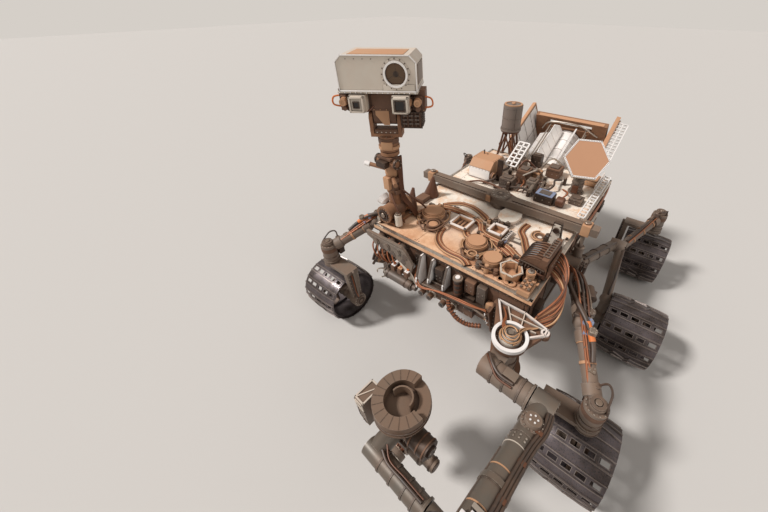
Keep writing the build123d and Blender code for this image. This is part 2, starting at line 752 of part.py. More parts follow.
dish_post = post(DISH_X, DISH_Y, DECK_Z, DECK_Z + DISH_POST_H, DISH_POST_R)
dish_post += post(DISH_X, DISH_Y, DECK_Z, DECK_Z + FLANGE_T, DISH_POST_R * 1.4)
pin_low = DISH_POST_H - DISH_PIN_DEEP
dish_post -= post(DISH_X, DISH_Y, DECK_Z + pin_low, DECK_Z + DISH_POST_H + SINK, ARM_PIN_R + RUN)
put("dish_post", dish_post)

dish_at = Pos(DISH_X, DISH_Y, DECK_Z) * Rot(Z=DISH_YAW)
ear_in = DISH_EAR_GAP / 2
ear_out = ear_in + DISH_EAR_T
ear_half = DISH_EAR_W / 2
head_low = DISH_POST_H + GAP
head_top = head_low + DISH_HEAD_H
yoke = post(0, 0, head_low, head_top, DISH_HEAD_R)
yoke += post(0, 0, pin_low + GAP, head_low, ARM_PIN_R)
yoke += box(-ear_half, ear_half, -ear_out, ear_out, head_top, head_top + DISH_EAR_T)
for hand in (1, -1):
    y0, y1 = sorted((hand * ear_in, hand * ear_out))
    yoke += box(-ear_half, ear_half, y0, y1, head_top, DISH_AXIS_UP)
    yoke += lying(0, y0, y1, DISH_AXIS_UP, ear_half)
    yoke -= lying(0, y0 - SINK, y1 + SINK, DISH_AXIS_UP, DISH_PIN_R + RUN)
put("dish_yoke", dish_at * yoke)

face_at = dish_at * Pos(0, 0, DISH_AXIS_UP) * Rot(Y=-DISH_PITCH)
hexagon = RegularPolygon(DISH_W / 2, 6, major_radius=False)
dish = Pos(DISH_OUT, 0, 0) * extrude(Plane.YZ * hexagon, DISH_T)
dish += rod((DISH_OUT - DISH_BACK_T, 0, 0), (DISH_OUT, 0, 0), DISH_BACK_R)
block_y = ear_in - GAP
dish += lying(0, -block_y, block_y, 0, DISH_PIN_R * 2.5)
dish += box(0, DISH_OUT, -block_y, block_y, -DISH_PIN_R * 2, DISH_PIN_R * 2)
dish += lying(0, -ear_out, ear_out, 0, DISH_PIN_R)
put("dish", face_at * dish)

# Rod antenna and its truss

can = post(CAN_X, CAN_Y, CAN_BASE_Z, CAN_BASE_Z + CAN_H, CAN_R)
can += post(CAN_X, CAN_Y, CAN_BASE_Z, CAN_BASE_Z + CAN_FLANGE_T, CAN_R + FLANGE_OUT)
can += post(CAN_X, CAN_Y, CAN_BASE_Z + CAN_H, CAN_BASE_Z + CAN_H + FLANGE_T / 2, CAN_R - FLANGE_OUT)
put("radio_can", can)
truss = post(CAN_X, CAN_Y, CAN_BASE_Z - CAN_FLANGE_T, CAN_BASE_Z, CAN_R)
foot_x, foot_y = TRUSS_FOOT
low_z, top_z = DECK_Z - FLANGE_T, CAN_BASE_Z - CAN_FLANGE_T / 2
corners = [(1, 1), (1, -1), (-1, -1), (-1, 1)]
for (sx, sy), (nx, ny) in zip(corners, corners[1:] + corners[:1]):
    foot = (CAN_X + sx * foot_x, CAN_Y + sy * foot_y, low_z)
    head = (CAN_X + sx * TRUSS_HEAD, CAN_Y + sy * TRUSS_HEAD, top_z)
    other = (CAN_X + nx * TRUSS_HEAD, CAN_Y + ny * TRUSS_HEAD, top_z)
    truss += rod(foot, head, TRUSS_R)
    truss += rod(foot, other, TRUSS_R * 0.8)
truss &= box(CAN_X - CAN_H, CAN_X + CAN_H, CAN_Y - CAN_H, CAN_Y + CAN_H, DECK_Z, CAN_BASE_Z)
put("radio_truss", truss)

# Boxes and fittings on the deck

BOX_X0, BOX_X1 = -380, -120
BOX_Y0, BOX_Y1 = -490, -270
BOX_H = 165
BOX_CUT = 60
roof = DECK_Z + BOX_H
box_outline = [
    (BOX_X0, DECK_Z),
    (BOX_X1, DECK_Z),
    (BOX_X1, roof - BOX_CUT),
    (BOX_X1 - BOX_CUT, roof),
    (BOX_X0 + BOX_CUT / 2, roof),
    (BOX_X0, roof - BOX_CUT / 2),
]
put("avionics_box", slab(box_outline, BOX_Y0, BOX_Y1))

for name, ix, iy, radius, height in INLETS:
    top = DECK_Z + height
    hinge_x, hinge_z = ix - radius - COVER_BACK, top + COVER_LIFT + COVER_T / 2
    half = COVER_PIN_R + COVER_PIN_WALL
    base = post(ix, iy, DECK_Z, top, radius)
    for hand in (1, -1):
        y0, y1 = sorted((iy + hand * COVER_EAR, iy + hand * (COVER_EAR + COVER_EAR_T)))
        base += box(hinge_x - half, ix, y0, y1, DECK_Z, top)
        base += box(hinge_x - half, hinge_x + half, y0, y1, DECK_Z, hinge_z)
        base += lying(hinge_x, y0, y1, hinge_z, half)
    base -= lying(hinge_x, iy - radius, iy + radius, hinge_z, COVER_PIN_R + RUN)
    base -= post(ix, iy, DECK_Z + INLET_FLOOR, top + SINK, radius * INLET_MOUTH)
    put(name, base)
    cover = post(ix, iy, top + COVER_LIFT, top + COVER_LIFT + COVER_T, radius * 0.9)
    tongue = COVER_EAR - GAP / 2
    pin = COVER_EAR + COVER_EAR_T
    cover += box(hinge_x, ix, iy - tongue, iy + tongue, top + COVER_LIFT, top + COVER_LIFT + COVER_T)
    cover += lying(hinge_x, iy - tongue, iy + tongue, hinge_z, half)
    cover += lying(hinge_x, iy - pin, iy + pin, hinge_z, COVER_PIN_R)
    put(name + "_cover", cover)

bins = []
for name, x, y, length, width, height, wall in TRAYS:
    tray = on_deck(x, y, length, width, height)
    bins.append(tray - on_deck(x, y, length - 2 * wall, width - 2 * wall, height, DECK_Z + wall / 2))
x, y, flats, height = HEX_BIN
hexagon = RegularPolygon(flats, 6, major_radius=False)
bin_form = Pos(x, y, DECK_Z) * extrude(hexagon, height)
hexagon = RegularPolygon(flats - FLANGE_T, 6, major_radius=False)
bins.append(bin_form - Pos(x, y, DECK_Z + FLANGE_T) * extrude(hexagon, height))
put("deck_bins", *bins)
put("rear_boxes", *[on_deck(*row) for row in REAR_BOXES])

x, y, long_r, short_r, height = OVAL_COVER
cover = Pos(x, y, DECK_Z) * extrude(Ellipse(long_r, short_r), height)
cover += Pos(x, y, DECK_Z) * extrude(Ellipse(long_r + FLANGE_T, short_r + FLANGE_T), FLANGE_T / 2)
put("oval_cover", cover)

x, y, length, width, height = LOCK_BOX
lock = on_deck(x, y, length, width, height)
lock += on_deck(x, y, length * 0.7, width * 0.7, height + FLANGE_T)
for up, to, radius in POST_STEPS:
    lock += post(*POST, DECK_Z + up, DECK_Z + to, radius)
put("knob_post", lock)

stow = on_deck(STOW_X, STOW_Y, *STOW_BASE)
stow_low = DECK_Z + STOW_BASE[2]
stow_top = DECK_Z + STOW_H
low_half, top_half = STOW_W_LOW / 2, STOW_W_TOP / 2
upright = [
    (STOW_Y - low_half, stow_low),
    (STOW_Y + low_half, stow_low),
    (STOW_Y + top_half, stow_top),
    (STOW_Y - top_half, stow_top),
]
stow += facing(upright, STOW_X - STOW_T / 2, STOW_X + STOW_T / 2)
gusset_x = STOW_X - STOW_BASE[0] / 2
gusset = [(gusset_x, stow_low), (STOW_X, stow_low), (STOW_X, stow_top - STOW_W_TOP)]
stow += slab(gusset, STOW_Y - STOW_T / 4, STOW_Y + STOW_T / 4)
boss_z = stow_top - STOW_W_TOP
stow += rod((STOW_X, STOW_Y, boss_z), (STOW_X + STOW_T, STOW_Y, boss_z), STOW_BOSS_R)
put("stow_bracket", stow)

duct_top = DECK_Z + DUCT_H
duct_mid = (DUCT_Y0 + DUCT_Y1) / 2
arch = [
    (DUCT_Y0, DECK_Z),
    (DUCT_Y0, DECK_Z + DUCT_H * 0.55),
    (DUCT_Y0 + (duct_mid - DUCT_Y0) * 0.5, duct_top - DUCT_H * 0.1),
    (duct_mid, duct_top),
    (DUCT_Y1, duct_top),
    (DUCT_Y1, DECK_Z),
]
duct = facing(arch, DUCT_X0, DUCT_X1)
shell = [
    (DUCT_Y0 - DUCT_RIB_OUT, DECK_Z),
    (DUCT_Y0 - DUCT_RIB_OUT, DECK_Z + DUCT_H * 0.58),
    (DUCT_Y0 + (duct_mid - DUCT_Y0) * 0.44, duct_top - DUCT_H * 0.04),
    (duct_mid, duct_top + DUCT_RIB_OUT),
    (DUCT_Y1, duct_top + DUCT_RIB_OUT),
    (DUCT_Y1, DECK_Z),
]
for i in range(DUCT_RIBS):
    rib_x = DUCT_X0 + (i + 0.5) * (DUCT_X1 - DUCT_X0) / DUCT_RIBS
    duct += facing(shell, rib_x - DUCT_RIB_T / 2, rib_x + DUCT_RIB_T / 2)
wide, high = STOP_BAR
duct += box(DUCT_X0 - wide, DUCT_X1 + wide, DUCT_Y1 - wide, DUCT_Y1, duct_top, duct_top + high)
put("cable_duct", duct)

# Main cable bundle on the deck, from the mast's foot to the cable duct: x, y
HARNESS = [(700, -446), (520, -424), (448, -240), (478, -40), (508, 36), (611, 78), (619, 302), (690, 396)]
HARNESS_R = 14
HARNESS_TIE_R = 16
harness_z = DECK_Z + HARNESS_TIE_R
spots = [(x, y, harness_z) for x, y in HARNESS]
spots.append((HARNESS[-1][0], DUCT_Y0 - DUCT_RIB_OUT, harness_z))
harness = rod(spots[0], spots[1], HARNESS_R)
for start, end in zip(spots[1:], spots[2:]):
    harness += rod(start, end, HARNESS_R)
    harness += ball(start, HARNESS_TIE_R)
put("deck_harness", harness)

# Front panel

panel_low = BODY_LOW + BODY_BEVEL + GAP * 2
panel_high = panel_low + CAMERA_BAR_H
barrel_x = BODY_FRONT + CAMERA_BAR_T
barrel_z = (panel_low + panel_high) / 2
bar = box(BODY_FRONT, barrel_x, -CAMERA_BAR_HALF, CAMERA_BAR_HALF, panel_low, panel_high)
for y in HAZARD_CAMERAS:
    bar += rod((barrel_x, y, barrel_z), (barrel_x + HAZARD_LEN, y, barrel_z), HAZARD_R)
put("camera_bar", bar)

knob_bracket = facing(KNOB_PLATE, KNOB_X, KNOB_X + KNOB_T)
for y in KNOB_YS:
    knob_bracket += rod((BODY_FRONT, y, KNOB_Z), (KNOB_X, y, KNOB_Z), KNOB_R)
    knob_bracket += rod((KNOB_X + KNOB_T, y, KNOB_Z), (KNOB_X + KNOB_T + FLANGE_T, y, KNOB_Z), KNOB_R * 0.8)
put("knob_bracket", knob_bracket)

plates = []
for y, reach, height in FIN_PLATES:
    outline = [
        (BODY_FRONT, BODY_TOP),
        (BODY_FRONT + reach * 0.45, BODY_TOP),
        (BODY_FRONT + reach, BODY_TOP - height * 0.7),
        (BODY_FRONT + reach, BODY_TOP - height),
        (BODY_FRONT, BODY_TOP - height),
    ]
    plates.append(slab(outline, y - FIN_PLATE_T / 2, y + FIN_PLATE_T / 2))
put("front_plates", *plates)

cylinder = lying(CYLINDER_X, CYLINDER_Y0, CYLINDER_Y1, CYLINDER_Z, CYLINDER_R)
cylinder += lying(CYLINDER_X, CYLINDER_Y0 - FLANGE_T * 2, CYLINDER_Y0, CYLINDER_Z, CYLINDER_R * 0.7)
cylinder += lying(CYLINDER_X, CYLINDER_Y1, CYLINDER_Y1 + FLANGE_T * 3, CYLINDER_Z, CYLINDER_R * 0.6)
hanger = [
    (BODY_FRONT, CYLINDER_Z + CYLINDER_R),
    (CYLINDER_X, CYLINDER_Z),
    (BODY_FRONT, CYLINDER_Z - CYLINDER_R),
]
for y in HANGER_YS:
    cylinder += slab(hanger, y, y + FLANGE_T)
put("front_cylinder", cylinder)

rack_y1 = RACK_Y + RACK_BARS * RACK_PITCH
rack_x1 = KNOB_X + CYLINDER_R * 1.6
half = RACK_PITCH / 4
rack = box(BODY_FRONT, BODY_FRONT + FLANGE_T, RACK_Y, rack_y1, RACK_Z0, RACK_Z1)
for i in range(RACK_BARS):
    y = RACK_Y + (i + 0.5) * RACK_PITCH
    rack += box(BODY_FRONT, rack_x1, y - half, y + half, RACK_Z0, RACK_Z1 - FLANGE_T)
rack -= box(KNOB_X - GAP, KNOB_X + KNOB_T + GAP, -FAR, FAR, RACK_Z1 - FLANGE_T * 2, FAR)
put("bar_rack", rack)

# Arm: bracket on the front, turntable, upper arm, forearm, wrist and turret

upper_z = ARM_TOP + GAP
lower_z = ARM_LOW - GAP - EAR_T
tail = [
    (BODY_FRONT, ARM_Y - EAR_R * 2),
    (BODY_FRONT, BODY_HALF),
    (LUG_AT[0] - LUG_R, LUG_AT[1]),
    (LUG_AT[0] + LUG_R, LUG_AT[1]),
    (ARM_X, ARM_Y + EAR_R),
    (ARM_X, ARM_Y - EAR_R),
]
mount = box(BODY_FRONT, BODY_FRONT + LEG_T, ARM_Y - EAR_R * 2, BODY_HALF, lower_z, upper_z + EAR_T)
for z0 in (lower_z, upper_z):
    mount += post(ARM_X, ARM_Y, z0, z0 + EAR_T, EAR_R)
mount += flat(tail, upper_z, upper_z + EAR_T)
mount += post(*LUG_AT, upper_z, upper_z + EAR_T, LUG_R)
mount += flat([tail[0], tail[1], tail[4], tail[5]], lower_z, lower_z + EAR_T)
rim_top = upper_z + EAR_T + EAR_RIM
mount += post(ARM_X, ARM_Y, upper_z + EAR_T, rim_top, EAR_R)
mount -= post(ARM_X, ARM_Y, upper_z + EAR_T, rim_top + SINK, EAR_R - EAR_RIM_T)
web_y = ARM_Y - EAR_R * 2
web_x = BODY_FRONT + LEG_T
web = slab([(web_x, upper_z), (ARM_X - EAR_R, upper_z), (web_x, lower_z)], web_y, web_y + EAR_RIM_T)
mount += web
for i in range(WEB_FINS):
    fin_z = upper_z - (i + 0.6) * (upper_z - lower_z) / (WEB_FINS + 1)
    reach = (fin_z - lower_z) / (upper_z - lower_z) * (ARM_X - EAR_R - web_x)
    mount += box(web_x, web_x + reach, web_y - EAR_RIM_T * 2, web_y, fin_z, fin_z + EAR_RIM_T)
mount -= post(ARM_X, ARM_Y, 0, FAR, ARM_PIN_R + RUN)
mount -= post(*LUG_AT, 0, FAR, LUG_HOLE_R)
put("arm_mount", mount)

arm_at = Pos(ARM_X, ARM_Y, 0) * Rot(Z=ARM_YAW)
turn = post(0, 0, ARM_LOW, ARM_TOP, ARM_DRUM_R)
turn += post(0, 0, lower_z, upper_z + EAR_T, ARM_PIN_R)
link_half = ARM_DRUM_R * 0.8
turn += box(0, ELEV_X, -link_half, link_half, ARM_AXIS_Z - ELEV_R, ARM_AXIS_Z + ELEV_R / 2)
turn += lying(ELEV_X, ELEV_Y0 - link_half, ELEV_Y1, ARM_AXIS_Z, ELEV_R)
turn += lying(ELEV_X, ELEV_Y1 - FLANGE_T, ELEV_Y1, ARM_AXIS_Z, ELEV_R + FLANGE_OUT)
turn += lying(ELEV_X, ELEV_Y1, ELEV_Y1 + GAP + UPPER_HUB_W, ARM_AXIS_Z, ARM_PIN_R)
put("arm_turntable", arm_at * turn)

upper_y = ELEV_Y1 + GAP + UPPER_HUB_W / 2
upper_at = arm_at * Pos(ELEV_X, upper_y, ARM_AXIS_Z) * Rot(Y=UPPER_DROP)
half_hub = UPPER_HUB_W / 2
upper = lying(0, -half_hub, half_hub, 0, ELEV_R + FLANGE_OUT)
upper += rod((0, 0, 0), (UPPER_L, 0, 0), UPPER_R)
upper += lying(UPPER_L, -half_hub, half_hub, 0, ELBOW_R)
for x in (UPPER_R * 2.2, UPPER_L / 2, UPPER_L - UPPER_R * 2.2):
    upper += rod((x - FLANGE_T, 0, 0), (x + FLANGE_T, 0, 0), UPPER_R + FLANGE_OUT)
for x in (0, UPPER_L):
    upper -= lying(x, -half_hub - SINK, half_hub + SINK, 0, ARM_PIN_R + RUN)
put("upper_arm", upper_at * upper)

fore_at = upper_at * Pos(UPPER_L, 0, 0) * Rot(Y=FORE_PITCH - UPPER_DROP)
half_wrist = WRIST_W / 2
fore = lying(0, -FORE_OFF - half_wrist, -half_hub - GAP, 0, ELBOW_R)
fore += lying(0, -half_hub - GAP, half_hub, 0, ARM_PIN_R)
fore += rod((0, -FORE_OFF, 0), (FORE_L, -FORE_OFF, 0), FORE_R)
for x in (ELBOW_R * 1.5, FORE_L - WRIST_R * 1.7):
    fore += rod((x - FLANGE_T, -FORE_OFF, 0), (x + FLANGE_T, -FORE_OFF, 0), FORE_R + FLANGE_OUT)
fore += lying(FORE_L, -FORE_OFF - half_wrist, -FORE_OFF + half_wrist, 0, WRIST_R)
fore -= lying(FORE_L, -FORE_OFF - half_wrist - SINK, -FORE_OFF + half_wrist + SINK, 0, ARM_PIN_R + RUN)
put("forearm", fore_at * fore)

wrist_at = fore_at * Pos(FORE_L, -FORE_OFF, 0) * Rot(Y=180 - FORE_PITCH)
turret_in = TURRET_OUT - TURRET_H / 2 - GAP
wrist = lying(0, -WRIST_REACH - half_wrist, -half_wrist - GAP, 0, WRIST_R)
wrist += lying(0, -half_wrist - GAP - FLANGE_T, -half_wrist - GAP, 0, WRIST_R + FLANGE_OUT)
wrist += lying(0, -half_wrist - GAP, half_wrist, 0, ARM_PIN_R)
wrist += rod((0, -WRIST_REACH, 0), (turret_in, -WRIST_REACH, 0), WRIST_R + GAP)
wrist += rod((turret_in, -WRIST_REACH, 0), (TURRET_OUT + TURRET_H / 2, -WRIST_REACH, 0), ARM_PIN_R)
put("wrist", wrist_at * wrist)

# The turret's own frame: x along its axis, y to port, z down
turret_at = wrist_at * Pos(TURRET_OUT, -WRIST_REACH, 0)
hub = rod((-TURRET_H / 2, 0, 0), (TURRET_H / 2, 0, 0), TURRET_R)
hub -= rod((-TURRET_H, 0, 0), (TURRET_H, 0, 0), ARM_PIN_R + RUN)
block = TURRET_H / 2 - GAP
drill_r = max(radius for y, radius in DRILL_STEPS)
hub += box(-block, block, -block, block, TURRET_R - FLANGE_T, DRILL_OFF)
hub += box(-block, block, -block, block, -RING_LOW, -TURRET_R + FLANGE_T)
hub += box(-block, block, SLAB_Y[1], -TURRET_R + FLANGE_T, -block, block)
for y0, y1, radius in [(a[0], b[0], b[1]) for a, b in zip(DRILL_STEPS, DRILL_STEPS[1:])]:
    hub -= lying(0, y0, y1, DRILL_OFF, radius)
put("turret_hub", turret_at * hub)

drill = lying(0, DRILL_STEPS[0][0] - FLANGE_T, DRILL_STEPS[0][0], DRILL_OFF, DRILL_STEPS[0][1])
for (y0, _), (y1, radius) in zip(DRILL_STEPS, DRILL_STEPS[1:]):
    drill += lying(0, y0, y1, DRILL_OFF, radius)
rod_y = DRILL_STEPS[0][0] - FLANGE_T
rod_z = DRILL_OFF + drill_r * 0.4
for off in (-drill_r / 2, drill_r / 2):
    drill += rod((off, rod_y - drill_r, rod_z), (off, rod_y, rod_z), DRILL_ROD_R)
put("drill", turret_at * drill)

ring_top = -RING_LOW - RING_H
ring = post(RING_X, 0, ring_top, -RING_LOW, RING_R)
ring -= post(RING_X, 0, ring_top - SINK, -RING_LOW - RING_FLOOR, RING_IN_R)
ring -= box(RING_X, RING_X + RING_R, 0, RING_R, ring_top - SINK, ring_top + RING_STEP)
shell = post(RING_X, 0, ring_top, -RING_LOW - RING_FLOOR, RING_IN_R * 0.7)
shell -= post(RING_X, 0, ring_top - SINK, -RING_LOW - RING_FLOOR, RING_IN_R * 0.7 - RING_SHELL_T)
ring += shell - box(RING_X - RING_R, RING_X, -RING_R, RING_R, ring_top - SINK, -RING_LOW)
put("sample_ring", turret_at * ring)

scope_end = TURRET_R + SCOPE_LEN
bore_out = rod((-TURRET_OUT, 0, 0), (TURRET_OUT, 0, 0), TURRET_R)
scope = lying(0, TURRET_R - SCOPE_IN, scope_end, 0, SCOPE_R)
scope += lying(0, scope_end, scope_end + FLANGE_T, 0, SCOPE_R * 0.6)
put("spectrometer", turret_at * (scope - bore_out))

case = box(*SLAB_X, *SLAB_Y, *SLAB_Z)
case -= Pos(0, SLAB_Y[0], SLAB_Z[1]) * Rot(X=45) * Box(FAR, SLAB_CLIP, SLAB_CLIP)
frame_box = box(*SLAB_X, *SLAB_Y, FRAME_Z, SLAB_Z[0])
frame_box -= box(
    SLAB_X[0] + FRAME_WALL, SLAB_X[1] - FRAME_WALL, SLAB_Y[0] - SINK, SLAB_Y[1] - FRAME_WALL,
    FRAME_Z + FRAME_WALL, SLAB_Z[0] - FRAME_WALL,
)
put("turret_camera", turret_at * (case + frame_box))

brush = rod((BRUSH_X[0], *BRUSH_AT), (BRUSH_X[1], *BRUSH_AT), BRUSH_R)
brush += rod((BRUSH_X[1], *BRUSH_AT), (0, *BRUSH_AT), BRUSH_R * 0.6)
half = BRUSH_R / 2
brush += box(-half, half, BRUSH_AT[0] - half, BRUSH_AT[0] + half, DRILL_OFF, BRUSH_AT[1])
put("brush", turret_at * (brush - drill))

# Put the origin at the middle of the footprint, on the ground, and write the files

boxes = [shape.bounding_box() for shape in pieces.values()]
low = [min(getattr(b.min, axis) for b in boxes) for axis in "XYZ"]
high = [max(getattr(b.max, axis) for b in boxes) for axis in "XYZ"]
ORIGIN = ((low[0] + high[0]) / 2, (low[1] + high[1]) / 2, low[2])
for name, shape in pieces.items():
    export_step(Pos(-ORIGIN[0], -ORIGIN[1], -ORIGIN[2]) * shape, f"parts/{name}.step")
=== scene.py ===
import json
import math
import random

import bmesh
import bpy
from mathutils import Matrix, Vector


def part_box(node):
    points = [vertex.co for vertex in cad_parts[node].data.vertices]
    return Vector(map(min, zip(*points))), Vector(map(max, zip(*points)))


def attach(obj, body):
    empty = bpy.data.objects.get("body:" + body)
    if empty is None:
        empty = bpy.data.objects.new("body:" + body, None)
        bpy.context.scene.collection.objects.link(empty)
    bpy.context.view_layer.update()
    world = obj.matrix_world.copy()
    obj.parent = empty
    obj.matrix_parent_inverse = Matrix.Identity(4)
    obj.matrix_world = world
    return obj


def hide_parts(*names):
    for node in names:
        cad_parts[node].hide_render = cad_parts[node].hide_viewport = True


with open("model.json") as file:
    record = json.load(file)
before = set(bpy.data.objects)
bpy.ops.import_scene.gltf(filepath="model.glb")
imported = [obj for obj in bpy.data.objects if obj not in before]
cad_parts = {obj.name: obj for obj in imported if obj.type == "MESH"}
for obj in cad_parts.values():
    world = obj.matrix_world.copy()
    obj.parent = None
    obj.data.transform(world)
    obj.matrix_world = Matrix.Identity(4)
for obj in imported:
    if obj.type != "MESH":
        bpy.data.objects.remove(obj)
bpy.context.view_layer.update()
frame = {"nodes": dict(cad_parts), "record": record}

random.seed(7)

# Lengths in millimetres, in the rover's own frame: X forward of the middle axle, Y port, Z up
MM = 0.001                     # metres in a millimetre


def in_mm(box):
    """The low and the high corner of a box given in metres."""
    low, high = box
    return low / MM, high / MM


BODY_FRONT = 940
(_, _, BODY_LOW), (body_high, BODY_HALF, BODY_TOP) = in_mm(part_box("chassis"))
SHIFT_X = body_high - BODY_FRONT
(deck_low, _, _), (deck_high, DECK_HALF, DECK_Z) = in_mm(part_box("deck"))
DECK_REAR, DECK_FRONT = deck_low - SHIFT_X, deck_high - SHIFT_X
WHEEL_W = 400
RIM_MID_R = 242
RIM_EDGE_R = 232
RIM_FLAT = 230
LUGS = 24


def move(x, y, z):
    return Matrix.Translation((x, y, z))


def turn(axis, degrees):
    return Matrix.Rotation(math.radians(degrees), 4, axis)


def X(size):
    """A run along X; Y and Z likewise."""
    return size, 0, 0


def Y(size):
    return 0, size, 0


def Z(size):
    return 0, 0, size


def around(x, y, radius, degrees):
    """A point on a circle about (x, y)."""
    angle = math.radians(degrees)
    return x + radius * math.cos(angle), y + radius * math.sin(angle)


def rect(x0, x1, y0, y1):
    return [(x0, y0), (x1, y0), (x1, y1), (x0, y1)]


# Places in the rover's frame, from above
OUTER = (620, -330)            # the three inlets
MIDDLE = (730, 120)
INNER = (815, 290)
KNOB = (815, 540)
COIL_RING = (385, 425)
MAST = (800, -540)
MOUNT = (1150, 600)            # the arm's upright axis
CAN = (-720, -400)
DISH_POST = (-400, 420)
UPRIGHT = (1005, 160)          # dark can on the front
STEER = 1100                   # the steering axes, in X and Y
FRONT_BEND = (740, 880)        # where a rocker's front run bends

DIAGONAL = 0.785               # first angle of four bolts that stand at a plate's corners

# Frames of the groups that move, and of the deck's top
ROVER = move(SHIFT_X, 0, 0)
DECK = ROVER @ move(0, 0, DECK_Z)
ARM = ROVER @ move(*MOUNT, 0) @ turn("Z", -4)
UPPER = ARM @ move(170, 292, 900) @ turn("Y", -16)
FORE = UPPER @ move(920, 0, 0) @ turn("Y", 135)
WRIST = FORE @ move(590, -150, 0) @ turn("Y", 61)
TURRET = WRIST @ move(178, -400, 0)
HEAD = ROVER @ move(*MAST, 0) @ turn("Z", 33)
DISH = DECK @ move(*DISH_POST, 0) @ turn("Z", 20)
FACE = DISH @ move(0, 0, 272) @ turn("Y", -38)
POWER = ROVER @ move(-830, 0, 900) @ turn("Y", 25)


def facing_x(x):
    """Outlines in (y, z), thick towards +X from x."""
    return Matrix(((0, 0, 1, x), (1, 0, 0, 0), (0, 1, 0, 0), (0, 0, 0, 1)))


def facing_y(y):
    """Outlines in (x, z), thick towards -Y from y."""
    return Matrix(((1, 0, 0, 0), (0, 0, -1, y), (0, 1, 0, 0), (0, 0, 0, 1)))


# Materials


def linear(r, g, b):
    """A colour as seen on a screen, 0 to 255, as the shader wants it."""
    return tuple(((c / 255 + 0.055) / 1.055) ** 2.4 if c > 10 else c / 255 / 12.92 for c in (r, g, b)) + (1.0,)


DUST = linear(206, 150, 112)
DARK_DUST = linear(112, 74, 52)
# Painted shade: the dark brown that deep corners take on
CREVICE_SHADE = linear(58, 34, 22)


class Shade:
    """Builds a node material a step at a time."""

    def __init__(self, name):
        self.mat = bpy.data.materials.new(name)
        self.mat.use_nodes = True
        self.nodes = self.mat.node_tree.nodes
        self.links = self.mat.node_tree.links
        self.bsdf = self.nodes["Principled BSDF"]
        self.coord = self.nodes.new("ShaderNodeTexCoord").outputs["Object"]

    def put(self, kind, inputs=None, **props):
        node = self.nodes.new(kind)
        for key, value in props.items():
            setattr(node, key, value)
        for key, value in (inputs or {}).items():
            if hasattr(value, "node"):
                self.links.new(value, node.inputs[key])
            else:
                node.inputs[key].default_value = value
        return node

    def noise(self, scale, detail=4.0, rough=0.6, stretch=None):
        where = self.coord
        if stretch:
            where = self.put("ShaderNodeMapping", {"Vector": where, "Scale": stretch}).outputs[0]
        made = self.put("ShaderNodeTexNoise", {"Vector": where, "Scale": scale, "Detail": detail, "Roughness": rough})
        return made.outputs["Fac"]

    def ramp(self, value, low, high):
        node = self.put("ShaderNodeMapRange", {"Value": value, "From Min": low, "From Max": high}, clamp=True)
        return node.outputs[0]

    def math(self, op, a, b=0.0):
        node = self.put("ShaderNodeMath", {0: a, 1: b}, operation=op, use_clamp=True)
        return node.outputs[0]

    def mix(self, share, first, second):
        node = self.put("ShaderNodeMix", {"Factor": share}, data_type="RGBA")
        for socket, value in ((node.inputs[6], first), (node.inputs[7], second)):
            if hasattr(value, "node"):
                self.links.new(value, socket)
            else:
                socket.default_value = value
        return node.outputs[2]

    def bump(self, height, strength, distance=0.002):
        node = self.put("ShaderNodeBump", {"Height": height, "Strength": strength, "Distance": distance})
        self.links.new(node.outputs[0], self.bsdf.inputs["Normal"])

    def up(self):
        """1 where a face looks up, 0 where it looks sideways or down."""
        normal = self.put("ShaderNodeNewGeometry").outputs["Normal"]
        return self.put("ShaderNodeSeparateXYZ", {0: normal}).outputs["Z"]

    def corner(self, reach=0.03):
        """1 deep in a corner, 0 in the open, from ambient occlusion; the materials use it to paint shade into corners.
        """
        open_share = self.put("ShaderNodeAmbientOcclusion", {"Distance": reach}, samples=8).outputs["AO"]
        return self.ramp(open_share, 0.85, 0.3)

    def edge(self):
        """1 along an edge, 0 on a flat."""
        eased = self.put("ShaderNodeBevel", {"Radius": 0.003}, samples=4).outputs[0]
        flat = self.put("ShaderNodeNewGeometry").outputs["Normal"]
        same = self.put("ShaderNodeVectorMath", {0: eased, 1: flat}, operation="DOT_PRODUCT").outputs["Value"]
        return self.ramp(same, 0.985, 0.86)


def dusty(
    name, paint, dust=0.5, rough=0.6, metal=0.0, dirt=0.25, dust_colour=DUST, grain=60.0, worn=None, thin=0.12,
    relief=0.12,
):
    """Paint or metal under settled dust: more on faces that look up, thin and patchy elsewhere; painted shade darkens
    the corners.
    """
    s = Shade(name)
    broad = s.noise(7.0, 5.0)
    fine = s.noise(grain, 3.0)
    patch = s.ramp(broad, 0.32, 0.68)
    tone = s.mix(s.math("MULTIPLY", patch, dirt), paint, DARK_DUST)
    if worn:
        tone = s.mix(s.math("MULTIPLY", s.edge(), s.ramp(fine, 0.4, 0.6)), tone, worn)
    facing = s.ramp(s.up(), 0.25, 0.85)
    film = s.math("MULTIPLY", s.ramp(fine, 0.35, 0.7), thin)
    settled = s.math("ADD", s.math("MULTIPLY", s.math("MULTIPLY", facing, patch), dust), film)
    top = s.math("MULTIPLY", facing, dust)
    cover = s.math("MAXIMUM", settled, s.math("MULTIPLY", top, s.ramp(broad, 0.2, 0.55)))
    coloured = s.mix(cover, tone, dust_colour)
    # Painted shade: deep corners darken towards a dark brown, from ambient occlusion.
    painted_corner_shade = s.math("MULTIPLY", s.corner(), 0.7)
    s.links.new(s.mix(painted_corner_shade, coloured, CREVICE_SHADE), s.bsdf.inputs["Base Color"])
    s.links.new(s.math("ADD", s.math("MULTIPLY", cover, 0.9 - rough), rough), s.bsdf.inputs["Roughness"])
    s.bsdf.inputs["Metallic"].default_value = metal
    s.bump(s.math("ADD", s.math("MULTIPLY", fine, 0.5), s.math("MULTIPLY", broad, 0.5)), relief)
    return s.mat


